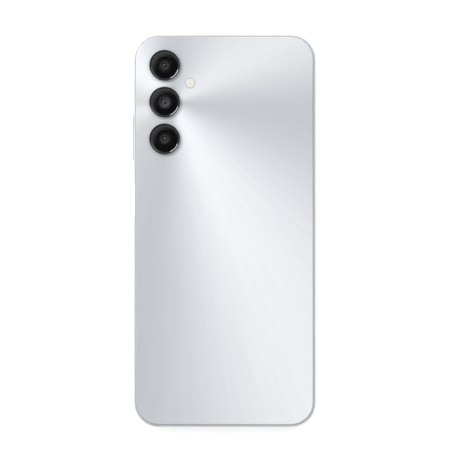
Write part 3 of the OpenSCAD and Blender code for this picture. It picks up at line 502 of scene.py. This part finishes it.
# the ring's inner chamfer is cut bright after anodising, then dyed black and polished
polishedEdge = grainedSurface("polished black chamfer", ("#2f2f32", "#333336"), 0.3, (0.04, 0.07), bump=0.0,
                              Metallic=1.0)
lensRing = grainedSurface("grey anodised lens ring", ("#4a4a4d", "#58585b"), 0.2, (0.35, 0.5), bump=0.002,
                          Metallic=0.3)
coatedLens = grainedSurface("coated lens glass", ("#010104", "#030308"), 1.2, (0.14, 0.18), bump=0.0, IOR=1.9)
activeArea = grainedSurface("switched-off display behind glass", ("#0a0b0e", "#0d0e12"), 22, (0.04, 0.07),
                            bump=0.0, **coatedGlass)


flashGlass = {"halfRing": 0.175, "radius": 2.1, "relief": 0.05}


# Clear warm white lens over the flash: moulded rings, two half rings apart, spread the light
def ringedLens(name, x, y):
    material, tree, surface, place = startMaterial(
        name, {"IOR": 1.49, "Coat Weight": 0.8, "Coat Roughness": 0.08, "Subsurface Weight": 0.15})
    halfRing = flashGlass["halfRing"] * mm
    centred = addNode(tree, "ShaderNodeMapping", {"Location": (-x, -y, 0)}, {"Vector": place})
    flat = addNode(tree, "ShaderNodeVectorMath", {"operation": "MULTIPLY", 1: (1, 1, 0)},
                   {0: centred.outputs[0]})
    reach = addNode(tree, "ShaderNodeVectorMath", {"operation": "LENGTH"}, {0: flat.outputs[0]})
    rings = addNode(tree, "ShaderNodeMath", {"operation": "PINGPONG", 1: halfRing},
                    {0: reach.outputs["Value"]})
    height = addNode(tree, "ShaderNodeMath", {"operation": "MULTIPLY", 1: 1 / halfRing},
                     {0: rings.outputs[0]})
    share = addNode(tree, "ShaderNodeMapRange", {"From Max": flashGlass["radius"] * mm},
                    {"Value": reach.outputs["Value"]})
    ramp = addNode(tree, "ShaderNodeValToRGB", links={0: share.outputs[0]})
    setRamp(ramp, [(0.0, "#dcd2b8"), (0.35, "#e3dccf"), (0.8, "#e3ded7"), (1.0, "#c8c4be")])
    relief = addNode(tree, "ShaderNodeBump", {"Distance": flashGlass["relief"] * mm, "Strength": 0.7},
                     {"Height": height.outputs[0]})
    rough = addNode(tree, "ShaderNodeMapRange", {"To Min": 0.18, "To Max": 0.3},
                    {"Value": height.outputs[0]})
    tree.links.new(ramp.outputs[0], surface.inputs["Base Color"])
    tree.links.new(rough.outputs[0], surface.inputs["Roughness"])
    tree.links.new(relief.outputs[0], surface.inputs["Normal"])
    return material


def middleOf(node):
    low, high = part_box(node)
    return (low + high) / 2


cameras = {"Top": middleOf("camera_ring_top"), "Middle": middleOf("camera_ring_middle"),
           "Bottom": middleOf("camera_ring_bottom")}
flashAt = middleOf("flash_lens")
frameLow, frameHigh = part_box("side_frame")
socketZ = middleOf("usb_c_tongue").z
finishes["flash_lens"] = ringedLens("moulded flash lens", flashAt.x, flashAt.y)

# every size and level below is in mm; levels count from the resting face
rearPanel = {"corner": 9.55, "softEdge": 0.42, "cameraHole": 5.65, "flashHole": 2.15, "flashChamfer": 0.06,
             "top": 8.8, "cutFrom": 7.5, "cutTo": 9.2}
low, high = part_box("rear_panel")
panel = roundedSlab("rearPanel", low, high, rearPanel["corner"] * mm, softTop=rearPanel["softEdge"] * mm)
cutFrom, cutTo = rearPanel["cutFrom"], rearPanel["cutTo"]
hole = rearPanel["cameraHole"]
cutters = [turned("cutter", place.x, place.y, [(hole, cutFrom), (hole, cutTo)]) for place in cameras.values()]
hole, chamfer = rearPanel["flashHole"], rearPanel["flashChamfer"]
cutters.append(turned("cutter", flashAt.x, flashAt.y,
                      [(hole, cutFrom), (hole, rearPanel["top"] - chamfer),
                       (hole + chamfer, rearPanel["top"]), (hole + chamfer, cutTo)]))
cutAway(panel, cutters)
finishPiece(panel, finishes["rear_panel"], "chassis", "rear_panel", "rear_panel")
print("rear panel done")

sideFrame = {"corner": 10.5, "softEdge": 0.6, "backRim": 0.9, "wall": 2.4, "frontRim": 0.7,
             "displayInset": 2.7, "backLedge": 7.75, "frontLedge": 0.9, "plateLevel": 2.4, "plateGap": 0.1,
             "portChamfer": 0.12, "cutDepth": 2.7}
rim = roundedSlab("sideFrame", frameLow, frameHigh, sideFrame["corner"] * mm,
                  softTop=sideFrame["softEdge"] * mm, softBottom=sideFrame["softEdge"] * mm)


# Insets a flat end face by so many mm and pushes the inner face to a level
def stepInward(piece, level, thickness, newLevel):
    pick(piece, "FACE", lambda f: near(f.calc_center_median().z, level) and abs(f.normal.z) > 0.9)
    bpy.ops.mesh.inset(thickness=thickness)
    extrudeBy((0, 0, newLevel - level))


soft = sideFrame["softEdge"]
backLedge, frontLedge = sideFrame["backLedge"] * mm, sideFrame["frontLedge"] * mm
openLevels = (sideFrame["plateLevel"] * mm, (sideFrame["plateLevel"] - sideFrame["plateGap"]) * mm)
stepInward(rim, frameHigh.z, (sideFrame["backRim"] - soft) * mm, backLedge)
stepInward(rim, backLedge, (sideFrame["wall"] - sideFrame["backRim"]) * mm, openLevels[0])
stepInward(rim, frameLow.z, (sideFrame["frontRim"] - soft) * mm, frontLedge)
stepInward(rim, frontLedge, (sideFrame["displayInset"] - sideFrame["frontRim"]) * mm, openLevels[1])
wideFace = 0.001    # m2; the two inner faces are larger than this, and they open into each other
pick(rim, "FACE", lambda f: abs(f.normal.z) > 0.9 and f.calc_area() > wideFace
     and any(near(f.calc_center_median().z, z) for z in openLevels))
bpy.ops.mesh.delete(type="ONLY_FACE")
pick(rim, "EDGE", lambda e: e.is_boundary)
bpy.ops.mesh.bridge_edge_loops()

chamfer = sideFrame["portChamfer"] * mm
cutters = []


# A cutter through one wall of the frame, with a chamfer where it comes out
def wallCutter(low, high, axis, corner, outside, way):
    level = outside - way * chamfer
    ends = [low[axis], high[axis]]
    ends[1 if way > 0 else 0] = level
    first, last = Vector(low), Vector(high)
    first[axis], last[axis] = ends
    cutter = roundedBar("cutter", first, last, axis, corner)
    flare(cutter, axis, level, way, chamfer)
    cutters.append(cutter)


def roundCutter(x, outside, inside, radius, way):
    reach = Vector((radius, 0, radius))
    spot = Vector((x, 0, socketZ))
    low, high = spot - reach, spot + reach
    low.y, high.y = min(outside, inside), max(outside, inside)
    wallCutter(low, high, 1, radius * 0.999, outside, way)


ports = {"usbHalf": (4.57, 1.73), "usbCorner": 1.6, "jackHole": 2.0, "micHole": 0.5, "bottomMic": 8.5,
         "topMic": 26.0, "speakerHole": 0.6, "speakerPitch": 2.2, "speakerCount": 6}
shellHalf = Vector((ports["usbHalf"][0] * mm, 0, ports["usbHalf"][1] * mm))
shellAt = Vector((0, frameLow.y, socketZ))
wallCutter(shellAt - shellHalf - Vector((0, mm, 0)),
           shellAt + shellHalf + Vector((0, sideFrame["cutDepth"] * mm, 0)), 1, ports["usbCorner"] * mm,
           frameLow.y, -1)
grilleMiddle = middleOf("speaker_mesh").x
inner = frameLow.y + sideFrame["cutDepth"] * mm
roundCutter(middleOf("headphone_jack").x, frameLow.y, inner, ports["jackHole"] * mm, -1)
roundCutter(ports["bottomMic"] * mm, frameLow.y, inner, ports["micHole"] * mm, -1)
for index in range(ports["speakerCount"]):
    offset = (index - (ports["speakerCount"] - 1) / 2) * ports["speakerPitch"] * mm
    roundCutter(grilleMiddle + offset, frameLow.y, inner, ports["speakerHole"] * mm, -1)
roundCutter(ports["topMic"] * mm, frameHigh.y, -inner, ports["micHole"] * mm, 1)

keys = {"endGap": 0.15, "sideGap": 0.1, "corner": 1.2, "volumeLength": 20.8, "powerLength": 11.6,
        "width": 2.6, "holeDepth": 2.6, "capEdge": 0.25, "powerEdge": 0.12, "flange": 0.4, "flangeOver": 1.3,
        "flangeSide": 0.5, "flangeCorner": 0.5, "postEdge": 0.1}
scoop = {"depth": 0.35, "floorHalf": 5.95, "ramp": 1.4, "blend": 0.9}
volumeY, powerY = middleOf("volume_key").y, middleOf("power_key").y
sideX = frameLow.x


# Half size of a key's face, seen from the side
def keyHalf(length, extra=0.0, extraSide=0.0):
    return Vector((0, (length / 2 + extra) * mm, (keys["width"] / 2 + extraSide) * mm))


scoopLow = Vector((sideX - mm, powerY - scoop["floorHalf"] * mm, -mm))
scoopHigh = Vector((sideX + scoop["depth"] * mm, powerY + scoop["floorHalf"] * mm, 10 * mm))
hollow = roundedBar("cutter", scoopLow, scoopHigh, 0, 0)
pick(hollow, "FACE", lambda f: near(f.calc_center_median().x, scoopLow.x))
slope = scoop["ramp"] / scoop["depth"]
widened = (scoop["floorHalf"] + scoop["ramp"] + slope) / scoop["floorHalf"]
bpy.ops.transform.resize(value=(1, widened, 1), center_override=(scoopLow.x, powerY, 0))
pick(hollow, "EDGE", lambda e: all(near(v.co.x, scoopHigh.x) for v in e.verts)
     and abs((e.verts[0].co - e.verts[1].co).z) > mm)
bpy.ops.mesh.bevel(offset=scoop["blend"] * mm, segments=6, affect="EDGES")
cutAway(rim, [hollow])
for middleY, length, outside in ((volumeY, keys["volumeLength"], sideX),
                                 (powerY, keys["powerLength"], sideX + scoop["depth"] * mm)):
    half = keyHalf(length, keys["endGap"], keys["sideGap"])
    spot = Vector((outside, middleY, socketZ))
    wallCutter(spot - half, spot + half + Vector((keys["holeDepth"] * mm, 0, 0)), 0, keys["corner"] * mm,
               outside, -1)
tray = {"headLength": 17.4, "headHeight": 2.8, "headDepth": 1.6, "gap": 0.08, "corner": 1.3, "sealGap": 0.1}
trayEnd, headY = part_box("sim_tray")[1].x, middleOf("sim_tray").y
half = Vector((0, (tray["headLength"] / 2 + tray["gap"]) * mm, (tray["headHeight"] / 2 + tray["gap"]) * mm))
spot = Vector((trayEnd, headY, socketZ))
wallCutter(spot - half - Vector((tray["headDepth"] * mm, 0, 0)), spot + half, 0, tray["corner"] * mm,
           trayEnd, 1)
sealLow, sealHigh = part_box("tray_seal")
room = tray["sealGap"] * mm
cutters.append(roundedBar("cutter", sealLow - Vector((mm, room, room)), sealHigh + Vector((room, room, room)),
                          0, 0))
cutAway(rim, cutters)
finishPiece(rim, finishes["frame"], "chassis", "frame", "side_frame")
print("side frame done")

coverGlass = {"corner": 9.75, "softEdge": 0.3, "innerEdge": 0.05, "slitLength": 12.0, "slitWidth": 0.6,
              "border": 2.2}
low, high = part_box("cover_glass")
glass = roundedSlab("coverGlass", low, high, coverGlass["corner"] * mm, softTop=coverGlass["innerEdge"] * mm,
                    softBottom=coverGlass["softEdge"] * mm)
pick(glass, "FACE", lambda f: near(f.calc_center_median().z, low.z) and abs(f.normal.z) > 0.9)
bpy.ops.mesh.inset(thickness=coverGlass["border"] * mm)
slitHalf = coverGlass["slitLength"] / 2 * mm
slit = roundedBar("cutter", Vector((-slitHalf, high.y - coverGlass["slitWidth"] * mm, -mm)),
                  Vector((slitHalf, high.y + mm, 2 * mm)), 2, 0)
cutAway(glass, [slit])
paintFaces(glass, finishes["screen_glass"], lambda f: True)
paintFaces(glass, activeArea, lambda f: near(f.center.z, low.z) and f.area > 4 * wideFace)
finishPiece(glass, finishes["screen_glass"], "chassis", "screen_glass", "cover_glass")
print("cover glass done")

# sections are lists of (radius, level); the ring's goes from the bore's foot round to it again
ringSection = [(4.6, 7.6), (5.6, 7.6), (5.6, 8.8), (6.47, 8.8), (6.55, 8.86), (6.55, 9.66), (6.53, 9.8),
               (6.49, 9.87), (6.42, 9.9), (6.38, 9.9), (6.34, 9.887), (5.79, 9.62), (5.76, 9.6), (5.75, 9.2),
               (4.6, 9.2), (4.6, 7.6)]
windowSection = [(3.3, 9.2), (5.66, 9.2), (5.7, 9.24), (5.7, 9.55), (5.66, 9.57), (5.2, 9.62), (4.4, 9.69),
                 (3.6, 9.745), (2.9, 9.785), (2.4, 9.805), (1.7, 9.828), (1.0, 9.842), (0.4, 9.849)]
# where the faces of the ring's inner chamfer lie, and how far the unprinted middle of the window reaches
polished = {"reach": (5.79, 6.35), "level": (9.61, 9.89)}
clearReach = 3.3


# A copy of a finished piece on another camera's place, with its own mesh
def copyTo(piece, name, source, target):
    twin = piece.copy()
    twin.data = piece.data.copy()
    twin.name = twin.data.name = name
    for key in list(twin.keys()):
        del twin[key]
    twin.parent = None
    bpy.context.scene.collection.objects.link(twin)
    pick(twin, "VERT", lambda v: True)
    bpy.ops.transform.translate(value=target - source)
    bpy.ops.object.mode_set(mode="OBJECT")
    return twin


def reachFrom(face, place):
    return math.hypot(face.center.x - place.x, face.center.y - place.y) / mm


def within(value, span):
    return span[0] < value < span[1]


top = cameras["Top"]
ring = turned("cameraRingTop", top.x, top.y, ringSection, closed=True, steps=128)
paintFaces(ring, finishes["camera_ring"], lambda f: True)
paintFaces(ring, polishedEdge, lambda f: within(reachFrom(f, top), polished["reach"])
           and within(f.center.z / mm, polished["level"]))
window = turned("cameraWindowTop", top.x, top.y, windowSection, steps=96)
paintFaces(window, finishes["camera_glass"], lambda f: True)
paintFaces(window, clearWindow, lambda f: reachFrom(f, top) < clearReach and abs(f.normal.z) > 0.5)
for label, place in cameras.items():
    part = label.lower()
    if label != "Top":
        finishPiece(copyTo(ring, "cameraRing" + label, top, place), None, "chassis", "camera_ring",
                    "camera_ring_" + part)
        finishPiece(copyTo(window, "cameraWindow" + label, top, place), None, "chassis", "camera_glass",
                    "camera_window_" + part)
finishPiece(ring, None, "chassis", "camera_ring", "camera_ring_top")
finishPiece(window, None, "chassis", "camera_glass", "camera_window_top")

# small cameras: barrel with a grey retaining ring, stepped baffle and a small coated lens
smallBarrel = [(2.4, 7.34), (2.4, 8.24), (2.34, 8.3), (1.95, 8.3), (1.88, 8.24), (1.8, 8.24), (1.74, 8.3),
               (1.36, 8.3), (1.3, 8.24), (1.28, 8.08), (0.98, 8.02), (0.96, 7.92), (0.72, 7.88), (0.7, 7.9),
               (0.6, 7.96), (0.45, 8.03), (0.28, 8.075), (0.12, 8.093), (0.04, 8.096)]
# main camera: a convex front lens, with the rising edge of the next lens round it
mainBarrel = [(3.2, 3.7), (3.2, 8.22), (3.12, 8.3), (2.44, 8.3), (2.38, 8.25), (2.32, 8.3), (1.62, 8.3),
              (1.55, 8.26), (1.53, 8.14), (1.42, 8.14), (1.38, 8.13), (1.02, 7.95), (1.0, 7.945),
              (0.98, 7.95), (0.56, 8.155), (0.4, 8.2), (0.2, 8.23), (0.06, 8.238)]
# faces above these levels belong to the grey ring and to the lens
lensLevels = {"ring": 8.27, "glass": 7.65}
moduleHousing = {"top": 7.35, "corner": 0.4, "softEdge": 0.1}


# A turned barrel whose grey ring and lens have their own materials
def lensPiece(name, place, section, ringSpan, lensReach):
    barrel = turned(name, place.x, place.y, section)
    paintFaces(barrel, finishes["lens_plastic"], lambda f: True)
    paintFaces(barrel, lensRing, lambda f: within(reachFrom(f, place), ringSpan)
               and f.center.z > lensLevels["ring"] * mm)
    paintFaces(barrel, coatedLens, lambda f: reachFrom(f, place) < lensReach
               and f.center.z > lensLevels["glass"] * mm)
    return barrel


for label, node in (("Top", "upper_camera_module"), ("Bottom", "lower_camera_module")):
    place = cameras[label]
    low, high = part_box(node)
    housing = roundedSlab("housing", low, Vector((high.x, high.y, moduleHousing["top"] * mm)),
                          moduleHousing["corner"] * mm, softTop=moduleHousing["softEdge"] * mm, steps=4)
    clearSelection()
    housing.data.materials.append(finishes["lens_plastic"])
    barrel = lensPiece("cameraModule" + label, place, smallBarrel, (1.36, 1.75), 0.71)
    clearSelection()
    finishPiece(joinPieces([barrel, housing]), None, "chassis", "lens_plastic", node)
barrel = lensPiece("mainCameraBarrel", cameras["Middle"], mainBarrel, (1.6, 2.33), 1.4)
clearSelection()
finishPiece(barrel, None, "main_camera_barrel", "lens_plastic", "main_camera_barrel")
print("cameras done")

flashSection = [(2.6, 7.7), (2.6, 7.88), (2.56, 7.9), (2.1, 7.9), (2.1, 8.62), (2.06, 8.7), (1.96, 8.74),
                (1.7, 8.755), (1.1, 8.765), (0.4, 8.77)]
lens = turned("flashLens", flashAt.x, flashAt.y, flashSection, steps=64)
clearSelection()
finishPiece(lens, finishes["flash_lens"], "chassis", "flash_lens", "flash_lens")

# the first three are places along X
keyLevels = {"volumeFlange": -37.3475, "powerFlange": -37.65, "postTip": -36.3, "postRadius": 0.6,
             "switchArm": 8.0}
low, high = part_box("volume_key")
half = keyHalf(keys["volumeLength"])
spot = Vector((0, volumeY, socketZ))
flangeX = keyLevels["volumeFlange"] * mm


def xAt(x):
    return Vector((x, 0, 0))


# The flange inside the wall that keeps a key from falling out
def flangeBar(middleY, length, x):
    half = keyHalf(length, keys["flangeOver"], keys["flangeSide"])
    spot = Vector((x, middleY, socketZ))
    return roundedBar("flange", spot - half, spot + half + xAt(keys["flange"] * mm), 0,
                      keys["flangeCorner"] * mm, steps=4)


# The post that pushes a switch
def postBar(middleY, x):
    radius = keyLevels["postRadius"] * mm
    reach = Vector((0, radius, radius))
    spot = Vector((0, middleY, socketZ))
    return roundedBar("post", spot - reach + xAt(x), spot + reach + xAt(keyLevels["postTip"] * mm), 0,
                      radius * 0.98, softLast=keys["postEdge"] * mm)


volumeKey = joinPieces([
    roundedBar("volumeKey", spot - half + xAt(low.x), spot + half + xAt(flangeX), 0, keys["corner"] * mm,
               softFirst=keys["capEdge"] * mm),
    flangeBar(volumeY, keys["volumeLength"], flangeX),
    postBar(volumeY - keyLevels["switchArm"] * mm, flangeX + keys["flange"] * mm),
    postBar(volumeY + keyLevels["switchArm"] * mm, flangeX + keys["flange"] * mm)])
finishPiece(volumeKey, finishes["key"], "volume_key", "key", "volume_key")

low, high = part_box("power_key")
half = keyHalf(keys["powerLength"])
spot = Vector((0, powerY, socketZ))
flangeX = keyLevels["powerFlange"] * mm
cap = roundedBar("powerKey", spot - half + xAt(low.x), spot + half + xAt(flangeX), 0, keys["corner"] * mm,
                 softFirst=keys["powerEdge"] * mm)
sensorPad = {"rim": 0.4, "pocketDepth": 0.5, "pocketCorner": 0.8, "corner": 0.77, "softEdge": 0.06,
             "border": 0.18, "dish": 0.03}
half = keyHalf(keys["powerLength"], -sensorPad["rim"], -sensorPad["rim"])
pocket = roundedBar("cutter", spot - half + xAt(low.x - mm),
                    spot + half + xAt(low.x + sensorPad["pocketDepth"] * mm), 0,
                    sensorPad["pocketCorner"] * mm)
cutAway(cap, [pocket])
powerKey = joinPieces([cap, flangeBar(powerY, keys["powerLength"], flangeX),
                       postBar(powerY, flangeX + keys["flange"] * mm)])
finishPiece(powerKey, finishes["key"], "power_key", "key", "power_key")

low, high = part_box("fingerprint_sensor")
sensor = roundedBar("fingerprintSensor", low, high, 0, sensorPad["corner"] * mm,
                    softFirst=sensorPad["softEdge"] * mm)
pick(sensor, "FACE", lambda f: near(f.calc_center_median().x, low.x) and abs(f.normal.x) > 0.9)
bpy.ops.mesh.inset(thickness=sensorPad["border"] * mm)
extrudeBy((sensorPad["dish"] * mm, 0, 0))
clearSelection()
finishPiece(sensor, finishes["sensor"], "power_key", "sensor", "fingerprint_sensor")

for name, node, slot, body, soft in (("cardTray", "sim_tray", "tray", "sim_tray", 0.07),
                                     ("socketShell", "usb_c_shell", "steel", "chassis", 0.05),
                                     ("socketTongue", "usb_c_tongue", "inner_plastic", "chassis", 0.08),
                                     ("traySeal", "tray_seal", "seal", "sim_tray", 0.1)):
    finishPiece(softenedCopy(name, node, soft), finishes[slot], body, slot, node)

# gold contacts on both faces of the socket's tongue
contacts = {"count": 12, "pitch": 0.5, "width": 0.26, "length": 3.2, "thick": 0.02, "corner": 0.06,
            "start": 0.5, "tongueHalf": 0.35}
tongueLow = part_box("usb_c_tongue")[0]
pads = []
for side in (-1, 1):
    for index in range(contacts["count"]):
        x = (index - (contacts["count"] - 1) / 2) * contacts["pitch"] * mm
        z = socketZ + side * (contacts["tongueHalf"] * mm + contacts["thick"] * mm / 2)
        middle = Vector((x, tongueLow.y + contacts["start"] * mm + contacts["length"] * mm / 2, z))
        half = Vector((contacts["width"], contacts["length"], contacts["thick"])) * mm / 2
        pads.append(roundedBar("socketContacts", middle - half, middle + half, 2, contacts["corner"] * mm,
                               steps=2))
finishPiece(joinPieces(pads), finishes["gold"], "chassis", "gold")
print("keys, tray and socket done")

# the CAD pieces that nothing stands for get their finish
for entry in frame["record"]["subparts"]:
    piece = nodes[entry["node"]]
    finish = finishes[entry["material_slot"]]
    if piece.data.materials:
        for index in range(len(piece.data.materials)):
            piece.data.materials[index] = finish
    else:
        piece.data.materials.append(finish)
print("CAD pieces finished")

# A studio dome, whitest near the top at the upper left and dim at the horizon, with a dark card above the
# camera and two strip lights. Sides are directions; domeReach and card are spans of closeness to them.
studio = {
    "floor": "#f2f2f2", "floorGlow": 0.42, "floorDrop": 0.05, "brightSide": (-0.25, 0.25, 0.935),
    "domeReach": (0.1, 0.95), "dome": (0.42, 1.55), "cardSide": (0.17, -0.17, 0.97), "card": (0.848, 0.946),
    "cardShare": 0.05,
    # name: place and size in m, power in W
    "strips": {"keyStrip": ((-0.66, 0.66, 0.64), (0.7, 0.13), 7.5),
               "fillStrip": ((0.66, 0.66, 0.69), (0.9, 0.13), 1.6)},
}
clearSelection()
bpy.ops.mesh.primitive_plane_add(size=6, location=(0, 0, -studio["floorDrop"] * mm))
floor = bpy.context.object
floor.name = "floor"
floorGlow = {"Emission Color": (1, 1, 1, 1), "Emission Strength": studio["floorGlow"]}
floor.data.materials.append(grainedSurface("matt white floor", (studio["floor"], studio["floor"]), 40,
                                           (0.8, 0.9), bump=0.0, **floorGlow))
floor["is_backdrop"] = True

world = bpy.data.worlds.new("studio")
world.use_nodes = True
sky = world.node_tree
background = sky.nodes["Background"]
background.inputs[0].default_value = (1, 1, 1, 1)
direction = addNode(sky, "ShaderNodeTexCoord").outputs["Generated"]
toBright = addNode(sky, "ShaderNodeVectorMath", {"operation": "DOT_PRODUCT", 1: studio["brightSide"]},
                   {0: direction})
dome = addNode(sky, "ShaderNodeMapRange",
               {"interpolation_type": "SMOOTHSTEP",
                "From Min": studio["domeReach"][0], "From Max": studio["domeReach"][1],
                "To Min": studio["dome"][0], "To Max": studio["dome"][1]},
               {"Value": toBright.outputs["Value"]})
toCard = addNode(sky, "ShaderNodeVectorMath", {"operation": "DOT_PRODUCT", 1: studio["cardSide"]},
                 {0: direction})
card = addNode(sky, "ShaderNodeMapRange",
               {"interpolation_type": "SMOOTHSTEP", "From Min": studio["card"][0],
                "From Max": studio["card"][1], "To Min": 1.0, "To Max": studio["cardShare"]},
               {"Value": toCard.outputs["Value"]})
strength = addNode(sky, "ShaderNodeMath", {"operation": "MULTIPLY"},
                   {0: dome.outputs[0], 1: card.outputs[0]})
sky.links.new(strength.outputs[0], background.inputs[1])
bpy.context.scene.world = world
bpy.context.scene.view_settings.view_transform = "Standard"


# A strip light aimed at the origin, its long side level
def areaLight(name, place, size, power):
    light = bpy.data.lights.new(name, "AREA")
    light.shape = "RECTANGLE"
    light.size, light.size_y, light.energy = size[0], size[1], power
    lamp = bpy.data.objects.new(name, light)
    lamp.location = place
    lamp.rotation_euler = (-Vector(place)).to_track_quat("-Z", "Y").to_euler()
    bpy.context.scene.collection.objects.link(lamp)


for name, (place, size, power) in studio["strips"].items():
    areaLight(name, place, size, power)

view = {"lens": 200.0, "sensor": 36.0, "across": 197.0, "centre": (2.31, 0.32), "level": 8.8}
lensData = bpy.data.cameras.new("camera")
lensData.lens, lensData.sensor_width = view["lens"], view["sensor"]
camera = bpy.data.objects.new("camera", lensData)
distance = view["across"] * mm * view["lens"] / view["sensor"]
camera.location = (view["centre"][0] * mm, view["centre"][1] * mm, view["level"] * mm + distance)
bpy.context.scene.collection.objects.link(camera)
bpy.context.scene.camera = camera
print("stage done")

bpy.context.view_layer.update()
low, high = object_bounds()
